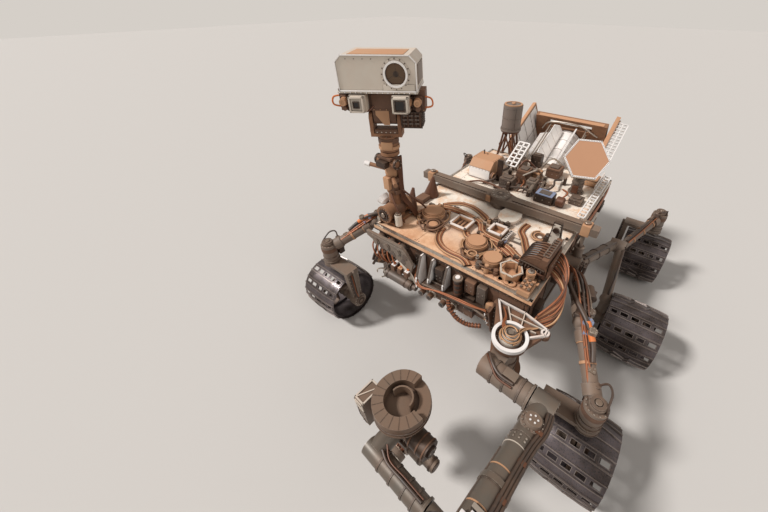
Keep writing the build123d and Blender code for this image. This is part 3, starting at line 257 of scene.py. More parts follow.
def deck_skin():
    """White deck paint: nearly clean behind the inlets, buried in tan dust towards the front, with painted shade in its
    corners.
    """
    s = Shade("deck_skin")
    along = s.put("ShaderNodeSeparateXYZ", {0: s.coord}).outputs["X"]
    broad = s.noise(3.2, 5.0)
    drift = s.noise(8.0, 6.0, 0.65)
    fine = s.noise(90.0, 4.0)
    grit = s.noise(260.0, 2.0)
    bare = s.ramp(along, (SHIFT_X + 840) * MM, (SHIFT_X + 440) * MM)
    bare = s.math("MULTIPLY", bare, s.ramp(broad, 0.25, 0.5))
    bare = s.math("MULTIPLY", bare, s.ramp(drift, 0.68, 0.5))
    dusted = s.mix(s.ramp(drift, 0.38, 0.62), linear(208, 152, 112), linear(238, 194, 156))
    tone = s.mix(bare, dusted, linear(249, 235, 218))
    tone = s.mix(s.math("MULTIPLY", s.ramp(fine, 0.55, 0.75), 0.35), tone, linear(178, 122, 88))
    tone = s.mix(s.math("MULTIPLY", s.ramp(grit, 0.66, 0.74), 0.55), tone, linear(132, 88, 62))
    # Painted shade: deep corners darken towards brown, from ambient occlusion.
    tone = s.mix(s.math("MULTIPLY", s.corner(0.05), 0.8), tone, linear(104, 64, 44))
    s.links.new(tone, s.bsdf.inputs["Base Color"])
    s.bsdf.inputs["Roughness"].default_value = 0.75
    s.bump(s.math("ADD", s.math("MULTIPLY", fine, 0.6), s.math("MULTIPLY", grit, 0.4)), 0.25)
    return s.mat


def wheel_skin_paint(name, low, high):
    """Anodised metal, dark, with dust ground into it and painted shade in its corners."""
    s = Shade(name)
    broad = s.noise(5.0, 5.0)
    fine = s.noise(110.0, 4.0, 0.7)
    tone = s.mix(s.ramp(broad, 0.4, 0.62), low, high)
    tone = s.mix(s.math("MULTIPLY", s.ramp(fine, 0.5, 0.7), 0.4), tone, linear(116, 88, 72))
    tone = s.mix(s.math("MULTIPLY", s.edge(), 0.6), tone, linear(150, 140, 138))
    # Painted shade: deep corners darken almost to black, from ambient occlusion.
    tone = s.mix(s.math("MULTIPLY", s.corner(0.02), 0.8), tone, linear(34, 22, 17))
    s.links.new(tone, s.bsdf.inputs["Base Color"])
    s.links.new(s.ramp(fine, 0.1, 1.2), s.bsdf.inputs["Roughness"])
    s.bsdf.inputs["Metallic"].default_value = 0.5
    s.bump(fine, 0.25)
    return s.mat


STEEL_EDGE = linear(190, 180, 168)
METAL_DUST = linear(142, 112, 88)
PAINT = {
    "grey": dusty("grey_paint", linear(118, 106, 95), 0.35, 0.5, dirt=0.3, dust_colour=METAL_DUST, worn=STEEL_EDGE),
    "arm": dusty("arm_paint", linear(102, 95, 86), 0.22, 0.36, 0.25, 0.3, linear(134, 112, 92), worn=STEEL_EDGE),
    "mid_grey": dusty("mid_grey_paint", linear(86, 78, 72), 0.3, 0.45, 0.1, 0.3, METAL_DUST, worn=STEEL_EDGE),
    "brown": dusty("brown_paint", linear(96, 70, 54), 0.4, 0.6, dirt=0.35, dust_colour=linear(150, 108, 80)),
    "ring": dusty("ring_paint", linear(112, 92, 76), 0.2, 0.5, 0.05, 0.3, METAL_DUST, worn=linear(150, 132, 116)),
    "mast": dusty("mast_paint", linear(146, 104, 74), 0.3, 0.6, 0.0, 0.75, linear(176, 128, 92), 26.0, thin=0.3),
    "tan": dusty("tan_paint", linear(192, 148, 112), 0.6, 0.6, dirt=0.2),
    "dark": dusty("dark_metal", linear(44, 36, 32), 0.25, 0.45, 0.3, 0.2, METAL_DUST, worn=linear(120, 104, 92)),
    "black": dusty("black_fitting", linear(24, 20, 19), 0.12, 0.4, dust_colour=METAL_DUST),
    "wheel": wheel_skin_paint("wheel_skin", linear(58, 50, 48), linear(92, 84, 86)),
    "lug": wheel_skin_paint("wheel_lugs", linear(98, 86, 78), linear(132, 120, 114)),
    "white": dusty("white_paint", linear(244, 236, 228), 0.3, 0.45, 0.0, 0.06, thin=0.05, relief=0.05),
    "clean": dusty("clean_white", linear(248, 243, 238), 0.1, 0.4, 0.0, 0.04, thin=0.03, relief=0.04),
    "pale": dusty("pale_box", linear(214, 203, 188), 0.2, 0.5, 0.0, 0.08, grain=18.0, thin=0.08, relief=0.04),
    "deck": deck_skin(),
    "dish": dusty("dish_face", linear(192, 142, 108), 0.2, 0.7, 0.0, 0.06, linear(204, 154, 118), thin=0.05),
    "can": dusty("can_skin", linear(122, 111, 103), 0.15, 0.55, 0.0, 0.2, METAL_DUST),
    "silver": dusty("bare_metal", linear(196, 187, 176), 0.2, 0.25, 0.9, 0.2, METAL_DUST),
    "steel": dusty("tool_metal", linear(150, 138, 126), 0.25, 0.32, 0.75, 0.35, METAL_DUST, worn=STEEL_EDGE),
    "copper": dusty("cable_wrap", linear(158, 90, 54), 0.2, 0.42, 0.25, 0.4, linear(188, 130, 94), 220.0),
    "bronze": dusty("brown_hose", linear(84, 50, 34), 0.2, 0.4, 0.2, 0.35, linear(146, 96, 66), 220.0),
    "braid": dusty("braided_wire", linear(198, 152, 112), 0.2, 0.45, 0.2, 0.3, linear(206, 160, 122), 220.0),
    "orange": dusty("orange_tape", linear(226, 120, 52), 0.15, 0.5, 0.0, 0.15),
    "blue": dusty("blue_grey_film", linear(140, 160, 192), 0.12, 0.3, 0.3, 0.12),
    "hose": dusty("black_hose", linear(38, 34, 32), 0.2, 0.4, 0.0, 0.25, METAL_DUST),
    "glass": dusty("lens_glass", linear(12, 12, 15), 0.02, 0.06, 0.0, 0.05, thin=0.01),
    "mirror": dusty("mirror_glass", linear(96, 80, 66), 0.05, 0.1, 0.9, 0.1, thin=0.02),
}


# Shapes


class Form:
    """Collects simple solids in one mesh, each with its material, and turns them into an object."""

    def __init__(self, name, at=ROVER):
        self.name = name
        self.at = at
        self.spots = []
        self.faces = []
        self.shades = []
        self.paints = []

    def take(self, mesh, key):
        """Adds a small mesh, all of it in one material."""
        if key not in self.paints:
            self.paints.append(key)
        mesh.verts.index_update()
        first = len(self.spots)
        self.spots += [tuple(vert.co * MM) for vert in mesh.verts]
        self.faces += [[first + vert.index for vert in face.verts] for face in mesh.faces]
        self.shades += [self.paints.index(key)] * len(mesh.faces)
        mesh.free()

    def box(self, x0, x1, y0, y1, z0, z1, key="grey", at=None, bevel=4):
        size = Matrix.Diagonal((abs(x1 - x0), abs(y1 - y0), abs(z1 - z0), 1))
        where = Matrix.Translation(((x0 + x1) / 2, (y0 + y1) / 2, (z0 + z1) / 2))
        matrix = self.at @ (at or Matrix.Identity(4)) @ where @ size
        mesh = bmesh.new()
        bmesh.ops.create_cube(mesh, size=1.0, matrix=matrix)
        if bevel:
            wide = min(bevel, 0.3 * min(abs(x1 - x0), abs(y1 - y0), abs(z1 - z0)))
            bmesh.ops.bevel(mesh, geom=mesh.edges[:], offset=wide, segments=2, profile=0.7, affect="EDGES")
        self.take(mesh, key)

    def block(self, centre, size, key="grey", at=None, bevel=4):
        """A box given by its middle and its three sizes."""
        (x, y, z), (a, b, c) = centre, size
        self.box(x - a / 2, x + a / 2, y - b / 2, y + b / 2, z - c / 2, z + c / 2, key, at, bevel)

    def turned(self, profile, start, run, key="grey", sides=28, at=None):
        """A round body about a run from start; profile holds (share along, radius)."""
        along = Vector(run)
        spin = along.to_track_quat("Z", "Y").to_matrix().to_4x4()
        matrix = self.at @ (at or Matrix.Identity(4)) @ Matrix.Translation(start) @ spin
        mesh = bmesh.new()
        rings = []
        for share, radius in profile:
            z = share * along.length
            if radius < 1e-6:
                rings.append([mesh.verts.new(matrix @ Vector((0, 0, z)))])
                continue
            angles = [2 * math.pi * i / sides for i in range(sides)]
            points = [Vector((radius * math.cos(a), radius * math.sin(a), z)) for a in angles]
            rings.append([mesh.verts.new(matrix @ p) for p in points])
        closed = profile[0] == profile[-1]
        for low, high in zip(rings, rings[1:]):
            for i in range(sides):
                j = (i + 1) % sides
                corners = [low[i % len(low)], low[j % len(low)], high[j % len(high)], high[i % len(high)]]
                unique = list(dict.fromkeys(corners))
                if len(unique) > 2:
                    mesh.faces.new(unique)
        if not closed:
            for ring in (rings[0], rings[-1]):
                if len(ring) > 2:
                    mesh.faces.new(ring)
        self.take(mesh, key)

    def rod(self, start, run, radius, key="grey", sides=20, at=None, lip=0.15):
        """A round bar with eased ends."""
        length = Vector(run).length
        ease = min(radius * lip, length * 0.2) / length
        edge = radius * (1 - lip * 0.8)
        profile = [(0, edge), (ease, radius), (1 - ease, radius), (1, edge)]
        self.turned(profile, start, run, key, sides, at)

    def ring(self, start, run, inner, outer, key="grey", sides=36, at=None):
        """A hoop with a square section."""
        self.turned([(0, inner), (0, outer), (1, outer), (1, inner), (0, inner)], start, run, key, sides, at)

    def plate(self, points, thick, key="grey", at=None, bevel=2):
        """A plate of an (x, y) outline, thick along Z from 0, in the frame at."""
        matrix = self.at @ (at or Matrix.Identity(4))
        mesh = bmesh.new()
        low = [mesh.verts.new(matrix @ Vector((x, y, 0))) for x, y in points]
        high = [mesh.verts.new(matrix @ Vector((x, y, thick))) for x, y in points]
        mesh.faces.new(low[::-1])
        mesh.faces.new(high)
        count = len(points)
        for i in range(count):
            mesh.faces.new((low[i], low[(i + 1) % count], high[(i + 1) % count], high[i]))
        if bevel:
            wide = min(bevel, 0.3 * abs(thick))
            bmesh.ops.bevel(mesh, geom=mesh.edges[:], offset=wide, segments=1, affect="EDGES")
        self.take(mesh, key)

    def bars(self, points, wide, low, high, key="grey", at=None, closed=True, bevel=2):
        """Square bars along an (x, y) line, from low to high."""
        ends = points[1:] + points[:1] if closed else points[1:]
        for (x0, y0), (x1, y1) in zip(points, ends):
            length = math.hypot(x1 - x0, y1 - y0) + wide
            angle = math.degrees(math.atan2(y1 - y0, x1 - x0))
            where = (at or Matrix.Identity(4)) @ move((x0 + x1) / 2, (y0 + y1) / 2, 0) @ turn("Z", angle)
            self.box(-length / 2, length / 2, -wide / 2, wide / 2, low, high, key, where, bevel)

    def ladder(self, length, width, rail, cells, thick, key="white", at=None, rows=1):
        """A perforated strip: rails along X from 0, cross pieces between them."""
        for i in range(rows + 1):
            y = -width / 2 + width * i / rows
            self.box(0, length, y - rail / 2, y + rail / 2, 0, thick, key, at, 1)
        for i in range(cells + 1):
            x = length * i / cells
            self.box(x - rail / 2, x + rail / 2, -width / 2, width / 2, 0, thick, key, at, 1)

    def tube(self, points, radius, key="grey", sides=8, at=None, steps=6):
        """A hose or bent rod through the points, eased between them."""
        matrix = self.at @ (at or Matrix.Identity(4))
        marks = [matrix @ Vector(p) for p in points]
        marks = [marks[0] * 2 - marks[1]] + marks + [marks[-1] * 2 - marks[-2]]
        line = []
        for a, b, c, d in zip(marks, marks[1:], marks[2:], marks[3:]):
            for i in range(steps):
                t = i / steps
                square, cube = 2 * a - 5 * b + 4 * c - d, 3 * b - a - 3 * c + d
                line.append(0.5 * (2 * b + (c - a) * t + square * t ** 2 + cube * t ** 3))
        line.append(marks[-2])
        side = (line[1] - line[0]).orthogonal().normalized()
        mesh = bmesh.new()
        rings = []
        for i, spot in enumerate(line):
            along = (line[min(i + 1, len(line) - 1)] - line[max(i - 1, 0)]).normalized()
            side = (side - along * side.dot(along)).normalized()
            other = along.cross(side)
            angles = [2 * math.pi * k / sides for k in range(sides)]
            rings.append([mesh.verts.new(spot + (side * math.cos(a) + other * math.sin(a)) * radius) for a in angles])
        for low, high in zip(rings, rings[1:]):
            for k in range(sides):
                mesh.faces.new((low[k], low[(k + 1) % sides], high[(k + 1) % sides], high[k]))
        mesh.faces.new(rings[0][::-1])
        mesh.faces.new(rings[-1])
        self.take(mesh, key)

    def bolt(self, spot, normal, size=5, key="silver", at=None):
        normal = Vector(normal).normalized()
        self.turned([(0, size), (0.8, size), (1, size * 0.7)], spot, normal * size * 0.8, key, 6, at)

    def bolts(self, centre, normal, radius, count, size=6, key="silver", at=None, first=0.0):
        """A ring of bolt heads."""
        spin = Vector(normal).to_track_quat("Z", "Y").to_matrix().to_4x4()
        ring = (at or Matrix.Identity(4)) @ Matrix.Translation(centre) @ spin
        for i in range(count):
            a = first + 2 * math.pi * i / count
            self.bolt((radius * math.cos(a), radius * math.sin(a), 0), Z(1), size, key, ring)

    def bolt_row(self, start, end, normal, count, size=5, key="silver", at=None):
        start, end = Vector(start), Vector(end)
        for i in range(count):
            self.bolt(start.lerp(end, i / max(count - 1, 1)), normal, size, key, at)

    def finish(self, body, replaces=(), smooth=35.0):
        data = bpy.data.meshes.new(self.name)
        data.from_pydata(self.spots, [], self.faces)
        data.polygons.foreach_set("material_index", self.shades)
        mesh = bmesh.new()
        mesh.from_mesh(data)
        bmesh.ops.recalc_face_normals(mesh, faces=mesh.faces)
        mesh.to_mesh(data)
        mesh.free()
        piece = bpy.data.objects.new(self.name, data)
        bpy.context.scene.collection.objects.link(piece)
        for key in self.paints:
            data.materials.append(PAINT[key])
        data.shade_smooth()
        data.set_sharp_from_angle(angle=math.radians(smooth))
        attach(piece, body)
        if replaces:
            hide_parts(*replaces)
        return piece


def cable(name, body, routes, radius, key="copper", at=ROVER, replaces=()):
    """Wires tied down along smooth lines, all in one piece."""
    data = bpy.data.curves.new(name, "CURVE")
    data.dimensions = "3D"
    data.bevel_depth = radius * MM
    data.bevel_resolution = 2
    data.resolution_u = 6
    for route in routes:
        line = data.splines.new("NURBS")
        line.points.add(len(route) - 1)
        for point, place in zip(line.points, route):
            point.co = (*(at @ Vector(place) * MM), 1.0)
        line.order_u = 3
        line.use_endpoint_u = True
    piece = bpy.data.objects.new(name, data)
    bpy.context.scene.collection.objects.link(piece)
    data.materials.append(PAINT[key])
    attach(piece, body)
    if replaces:
        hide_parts(*replaces)
    return piece


def strands(route, offsets):
    """Copies of a route, side by side: each offset is (sideways in XY, up)."""
    made = []
    for across, up in offsets:
        line = []
        for i, place in enumerate(route):
            before, after = Vector(route[max(i - 1, 0)]), Vector(route[min(i + 1, len(route) - 1)])
            run = after - before
            side = Vector((-run.y, run.x, 0))
            side = side.normalized() if side.length > 1e-6 else Vector((1, 0, 0))
            line.append(Vector(place) + side * across + Vector((0, 0, up)))
        made.append(line)
    return made


# Wheels

SKIN_T = 4
RINGS = 36                     # rows of the skin across the wheel
STEPS = 8                      # columns of the skin between two lugs
STRAIGHT = 7                   # straight lugs; the rest are stepped
JOG = math.radians(4.2)        # how far a stepped lug leaves its middle line
STEPPED = [(-1.0, 0.0), (-0.36, -1.0), (-0.22, 1.0), (0.22, -1.0), (0.36, 1.0), (1.0, 0.0)]
HOLE_ROWS = (0, 2, 4)          # gaps between straight lugs that have holes
HOLES_PER_ROW = 5


def rim_radius(y):
    """The crowned rim's radius at a distance y from the middle plane."""
    past = max(0.0, abs(y) - RIM_FLAT / 2) / (WHEEL_W / 2 - RIM_FLAT / 2)
    return RIM_MID_R - (RIM_MID_R - RIM_EDGE_R) * past


def lug_turn(index, y):
    """The angle by which a lug leaves its straight line at y."""
    if index < STRAIGHT:
        return 0.0
    share = y / (WHEEL_W / 2)
    for (y0, a0), (y1, a1) in zip(STEPPED, STEPPED[1:]):
        if y0 <= share <= y1:
            return JOG * (a0 + (a1 - a0) * (share - y0) / (y1 - y0))
    return 0.0


def on_wheel(angle, y, radius):
    return Vector((radius * math.cos(angle), y, radius * math.sin(angle)))


def wheel_skin(form, at):
    """Thin rim with rows of rectangular holes."""
    bm = bmesh.new()
    columns = LUGS * STEPS
    pitch = 2 * math.pi / columns
    across = [-WHEEL_W / 2 + WHEEL_W * i / RINGS for i in range(RINGS + 1)]
    grid = {}
    for depth in (0, 1):
        for row, y in enumerate(across):
            radius = rim_radius(y) - depth * SKIN_T
            for column in range(columns):
                grid[depth, row, column] = bm.verts.new(at @ on_wheel(column * pitch, y, radius))
    hole_gap = RINGS // HOLES_PER_ROW
    open_cells = set()
    for gap in HOLE_ROWS:
        for hole in range(HOLES_PER_ROW):
            first_row = hole * hole_gap + 1
            for row in range(first_row, first_row + hole_gap - 2):
                for column in range(gap * STEPS + 2, gap * STEPS + STEPS - 2):
                    open_cells.add((row, column))
    for row in range(RINGS):
        for column in range(columns):
            if (row, column) in open_cells:
                continue
            after = (column + 1) % columns
            outer = [grid[0, row, column], grid[0, row, after], grid[0, row + 1, after], grid[0, row + 1, column]]
            inner = [grid[1, row, column], grid[1, row, after], grid[1, row + 1, after], grid[1, row + 1, column]]
            bm.faces.new(outer)
            bm.faces.new(inner[::-1])
            sides = [
                (row, column, row, after, (row - 1, column)),
                (row + 1, column, row + 1, after, (row + 1, column)),
                (row, column, row + 1, column, (row, (column - 1) % columns)),
                (row, after, row + 1, after, (row, after)),
            ]
            for r0, c0, r1, c1, beside in sides:
                at_edge = beside[0] < 0 or beside[0] >= RINGS
                if at_edge or beside in open_cells:
                    bm.faces.new((grid[0, r0, c0], grid[0, r1, c1], grid[1, r1, c1], grid[1, r0, c0]))
    form.take(bm, "wheel")


def wheel_lug(form, at, index):
    """A raised bar across the rim, straight or stepped."""
    bm = bmesh.new()
    half, foot, top = 5.2, -2, 7.8     # half width, and the heights over the rim
    stops = [-1.0, -0.7, -0.36, -0.22, 0.0, 0.22, 0.36, 0.7, 1.0]
    base = 2 * math.pi * index / LUGS
    last = None
    for share in stops:
        y = share * WHEEL_W / 2
        radius = rim_radius(y)
        angle = base + lug_turn(index, y)
        ring = []
        for side, height, narrow in ((-1, foot, 1.0), (-1, top, 0.55), (1, top, 0.55), (1, foot, 1.0)):
            ring.append(bm.verts.new(at @ on_wheel(angle + side * half * narrow / radius, y, radius + height)))
        if last:
            for i in range(4):
                bm.faces.new((last[i], last[(i + 1) % 4], ring[(i + 1) % 4], ring[i]))
        else:
            bm.faces.new(ring)
        last = ring
    bm.faces.new(last[::-1])
    form.take(bm, "lug")


def hole_frames(form):
    """A thin raised rim round each hole."""
    cell = math.radians(360 / (LUGS * STEPS))
    row = WHEEL_W / RINGS
    for gap in HOLE_ROWS:
        for hole in range(HOLES_PER_ROW):
            y0 = (hole * (RINGS // HOLES_PER_ROW) + 1) * row - WHEEL_W / 2
            y1 = y0 + (RINGS // HOLES_PER_ROW - 2) * row
            radius = min(rim_radius(y0), rim_radius(y1))
            half = 2 * cell * radius
            spin = turn("Y", -math.degrees((gap * STEPS + STEPS / 2) * cell))
            for z in (-half, half):
                form.box(radius - 4, radius + 3, y0 - 3, y1 + 3, z - 1.6, z + 1.6, "lug", spin, 0)
            for y in (y0, y1):
                form.box(radius - 4, radius + 3, y - 1.6, y + 1.6, -half, half, "lug", spin, 0)


def strip(form, at, points, y0, y1, thick, key):
    """A bent flat strip in the wheel's plane, from y0 to y1."""
    bm = bmesh.new()
    rows = []
    for i, (x, z) in enumerate(points):
        before = points[max(i - 1, 0)]
        after = points[min(i + 1, len(points) - 1)]
        dx, dz = after[0] - before[0], after[1] - before[1]
        size = math.hypot(dx, dz)
        nx, nz = -dz / size * thick / 2, dx / size * thick / 2
        corners = [(x + nx, y0, z + nz), (x + nx, y1, z + nz), (x - nx, y1, z - nz), (x - nx, y0, z - nz)]
        rows.append([bm.verts.new(at @ Vector(c)) for c in corners])
    for low, high in zip(rows, rows[1:]):
        for i in range(4):
            bm.faces.new((low[i], low[(i + 1) % 4], high[(i + 1) % 4], high[i]))
    bm.faces.new(rows[0])
    bm.faces.new(rows[-1][::-1])
    form.take(bm, key)


def wheel(axle, side):
    hand = 1 if side == "port" else -1
    low, high = in_mm(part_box(f"wheel_{axle}_{side}"))
    at = Matrix.Translation((low + high) / 2) @ Matrix.Diagonal((1, hand, 1, 1))
    form = Form(f"wheel_{axle}_{side}_look", Matrix.Identity(4))
    wheel_skin(form, at)
    for index in range(LUGS):
        wheel_lug(form, at, index)
    form.at = at
    hole_frames(form)
    for y in (34, -186):
        form.ring((0, y, 0), Y(12), 216, 236, "wheel", 48)
    for index in range(8):
        points = []
        for step in range(9):
            share = step / 8
            radius = 52 + share * 172
            swing = math.radians(45 * index + 26 * share + 9 * math.sin(share * 2 * math.pi))
            points.append((radius * math.cos(swing), radius * math.sin(swing)))
        strip(form, at, points, 28, 68, 7, "dark")
    form.turned(
        [(0, 34), (0, 58), (0.25, 62), (0.8, 62), (1, 54), (1, 30), (0.88, 26), (0.88, 0)],
        (0, 20, 0), Y(58), "mid_grey", 36,
    )
    form.bolts((0, 78, 0), Y(1), 43, 8, 5)
    return form.finish(f"wheel_{axle}_{side}", [f"wheel_{axle}_{side}"], 30)


for axle in ("front", "middle", "rear"):
    for side in ("port", "starboard"):
        wheel(axle, side)

# Deck: edge rail, panels and small fittings

deck = Form("deck_trim", DECK)
INSET = 11                     # from the deck's edge to the middle of its rail
rail = rect(DECK_REAR + INSET, DECK_FRONT - INSET, INSET - DECK_HALF, DECK_HALF - INSET)
deck.bars(rail, 22, -2, 4, "silver")
deck.bars(rail, 26, BODY_TOP - DECK_Z + 2, BODY_TOP - DECK_Z + 12, "dark")
for (x0, y0), (x1, y1) in zip(rail, rail[1:] + rail[:1]):
    deck.bolt_row((x0, y0, 4), (x1, y1, 4), Z(1), 17, 4.5)
# Thin covers: x and y limits
for x0, x1, y0, y1 in [
    (300, 935, -595, -245), (300, 420, -235, 300), (660, 935, -235, 45),
    (700, 935, 200, 595), (270, 560, 370, 595), (-775, -80, -200, 200), (-775, -80, 210, 595),
    (-360, 100, -595, -510), (-60, 100, -500, 200),
]:
    deck.box(x0, x1, y0, y1, -2, 2, "deck", bevel=1)
    for x in (x0 + 12, x1 - 12, (x0 + x1) / 2 - 12):
        for y in (y0 + 12, y1 - 12):
            deck.bolt((x, y, 2), Z(1), 3.5, "mid_grey")
deck.finish("rover")

fit = Form("deck_fittings", DECK)
# Outer inlet: skirt, second ring and its arm
fit.turned([(0, 105), (0.5, 94), (1, 84)], (*OUTER, 0), Z(22), "brown", 40)
fit.ring((*OUTER, 18), Z(28), 80.5, 88, "tan", 40)
fit.ring((735, -245, 0), Z(42), 40, 52, "brown")
fit.rod((735, -245, 0), Z(34), 41, "tan", 28)
fit.tube([(660, -240, 30), (700, -170, 45), (780, -190, 30), (800, -250, 20)], 7, "brown")
fit.tube([(720, -330, 20), (790, -330, 45), (820, -270, 20)], 7, "brown")
for x, y in ((700, -400), (550, -430), (520, -260), (760, -360)):
    fit.block((x, y, 12), (30, 22, 24), "tan")
    fit.bolt((x, y, 24), Z(1))
# Sample pocket: rim and grid
fit.bars(rect(526, 654, -155, -25), 16, 30, 40, "white")
for i in range(4):
    fit.rod((545, -135 + 30 * i, 12), X(90), 6, "brown", 10)
# Middle inlet: pear-shaped wall and its outrigger
fit.turned([(0, 84), (0.6, 78), (1, 70)], (*MIDDLE, 0), Z(20), "brown", 40)
fit.ring((*MIDDLE, 16), Z(26), 68, 74, "tan", 40)
fit.ring((835, 150, 0), Z(30), 26, 34, "tan", 24)
fit.tube([(800, 90, 10), (840, 70, 30), (880, 110, 20), (870, 170, 10)], 6, "brown")
# Inner inlet: cluster of small cans and brackets
fit.turned([(0, 80), (0.6, 74), (1, 66)], (*INNER, 0), Z(20), "brown", 40)
for x, y, r, h, key in [
    (900, 240, 20, 50, "mid_grey"), (910, 300, 16, 65, "tan"), (890, 355, 18, 40, "brown"),
    (745, 235, 15, 45, "mid_grey"), (730, 300, 18, 35, "tan"), (860, 205, 12, 55, "silver"),
]:
    fit.turned([(0, r), (0.7, r), (0.72, r * 0.8), (1, r * 0.8)], (x, y, 0), Z(h), key, 20)
    fit.bolts((x, y, 0), Z(1), r + 8, 4, 4, "mid_grey")
fit.tube([(890, 240, 40), (930, 270, 60), (910, 330, 45)], 5, "brown")
# Hexagonal bin: lip and flange
hexagon = [around(845, 430, 71, 30 + 60 * i) for i in range(6)]
fit.bars(hexagon, 8, 56, 66, "pale")
fit.bars(hexagon, 30, 0, 6, "tan")
# Knob post: wide base ring and grooves
fit.ring((*KNOB, 0), Z(6), 44, 60, "tan", 36)
fit.turned([(0, 24.5), (0.4, 27), (0.6, 27), (1, 24.5)], (*KNOB, 26), Z(20), "tan", 28)
fit.rod((*KNOB, 74), Z(6), 20, "silver", 24)
fit.bolt((*KNOB, 80), Z(1), 6, "dark")
# Box with a worked top beside the knob
for i in range(4):
    for j in range(3):
        fit.block((872 + 22 * i, 536 + 22 * j, 58), (13, 13, 12), "steel" if (i + j) % 2 else "tan", bevel=2)
fit.block((905, 558, 4), (124, 90, 8), "silver", bevel=2)
# Two connectors, label plate, rings
for y in (445, 470):
    fit.turned([(0, 26), (0.8, 26), (1, 22)], (905, y, 0), Z(14), "tan", 24)
    fit.bolt((905, y, 14), Z(1), 7, "dark")
fit.block((520, 320, 4), (52, 84, 6), "mid_grey", bevel=2)
fit.block((520, 320, 8), (26, 50, 4), "pale", bevel=1)
fit.ring((*COIL_RING, 0), Z(12), 36, 46, "tan", 32)
fit.ring((*COIL_RING, 0), Z(6), 18, 30, "brown", 28)
# Deck tray: rounded white rim, bracket with dark holes beside it
fit.bars(rect(478, 582, 119, 221), 18, 40, 51, "white", bevel=5)
fit.ladder(130, 18, 4, 6, 30, "white", move(465, 250, 0))
for x, y, h, key in [
    (440, 100, 50, "mid_grey"), (430, 150, 35, "brown"), (440, 55, 30, "tan"), (610, 262, 40, "blue"),
    (645, 255, 50, "dark"), (420, 190, 45, "dark"),
]:
    fit.block((x, y, h / 2), (36, 30, h), key)
    fit.rod((x, y, h), Z(12), 9, "steel", 12)
# Oval cover's bolts
for i in range(16):
    a = 2 * math.pi * i / 16
    fit.bolt((300 + 118 * math.cos(a), 150 + 88 * math.sin(a), 6), Z(1), 4)
# Cross-shaped clip with its wires, port side
fit.block((385, 535, 22), (110, 16, 20), "steel")
fit.block((385, 535, 22), (16, 90, 20), "steel")
for i in range(5):
    y = 500 + 18 * i
    fit.tube([(320, y, 10), (360, y + 4, 34), (410, y, 34), (455, y + 6, 10)], 4, "bronze", 6)
for x, y in ((430, 585), (510, 605), (550, 585), (300, 585)):
    fit.block((x, y, 8), (22, 16, 14), "dark")
# Small box with a blue film behind the bar, and its neighbours
fit.block((-100, 260, 73), (100, 140, 6), "blue", bevel=2)
fit.rod((-90, 360, 40), Y(60), 42, "bronze", 28)
closed = Form("rear_boxes_look", DECK)
for x, y, a, b, h, key in [
    (-100, 260, 110, 150, 70, "dark"), (-140, -100, 100, 120, 90, "mid_grey"), (-300, -20, 120, 100, 130, "brown"),
    (-200, 100, 90, 80, 100, "grey"),
    (-420, 20, 100, 140, 80, "tan"), (-520, -160, 120, 100, 110, "grey"), (-580, 160, 140, 120, 90, "brown"),
    (-620, 460, 120, 160, 70, "tan"), (-220, 480, 100, 100, 50, "mid_grey"), (-680, -60, 80, 100, 120, "dark"),
]:
    closed.block((x, y, h / 2), (a, b, h), key, bevel=6)
    closed.block((x, y, h * 0.82), (a + 4, b + 4, 4), "dark", bevel=1)
    closed.block((x, y, h + 4), (a * 0.6, b * 0.6, 12), "mid_grey", bevel=2)
    closed.bolt_row((x - a * 0.4, y - b * 0.42, h), (x + a * 0.4, y - b * 0.42, h), Z(1), 3, 4)
    closed.bolt_row((x + a / 2, y - b * 0.38, h * 0.5), (x + a / 2, y + b * 0.38, h * 0.5), X(1), 3, 4)
fit.block((-190, -210, 100), (20, 50, 200), "black", bevel=4)
fit.rod((-340, 100, 70), (290, 40, 0), 16, "grey", 20)
fit.rod((-340, 160, 50), (290, 40, 0), 12, "steel", 16)
for i in range(7):
    y = -120 + 45 * i
    line = [(-100, y, 10), (-170, y + 20, 60), (-250, y - 10, 50), (-360, y + 20, 20)]
    fit.tube(line, 6, "copper" if i % 2 else "bronze", 6)
for line, r, key in [
    ([(-60, -300, 12), (-100, -220, 50), (-200, -240, 60), (-400, -220, 50), (-600, -300, 20)], 11, "hose"),
    ([(-40, -180, 12), (-80, -20, 45), (-100, 100, 50), (-60, 200, 20)], 10, "hose"),
    ([(-220, 0, 100), (-280, 80, 150), (-380, 60, 120), (-440, 120, 20)], 8, "silver"),
    ([(-360, -120, 10), (-400, -100, 120), (-460, -60, 130), (-500, 60, 20)], 9, "bronze"),
    ([(-240, 220, 10), (-280, 260, 60), (-360, 240, 70), (-500, 260, 20)], 9, "hose"),
    ([(-160, 360, 10), (-220, 400, 60), (-280, 340, 50), (-320, 380, 10)], 7, "copper"),
    ([(-600, 20, 10), (-640, 60, 100), (-720, 100, 100), (-760, 180, 20)], 9, "silver"),
    ([(20, -420, 12), (-40, -300, 30), (-20, -100, 30), (30, 100, 12)], 8, "bronze"),
]:
    fit.tube(line, r, key, 10)
for x, y, h in ((-70, -60, 70), (-90, 120, 50), (-260, -140, 90), (-340, 160, 80), (-460, 300, 60)):
    fit.block((x, y, h / 2), (30, 24, h), "dark")
    fit.rod((x, y, h), Z(14), 12, "steel", 14)
fit.finish("rover")
closed.finish("rover", ["rear_boxes"])

# Cable bundles on the deck

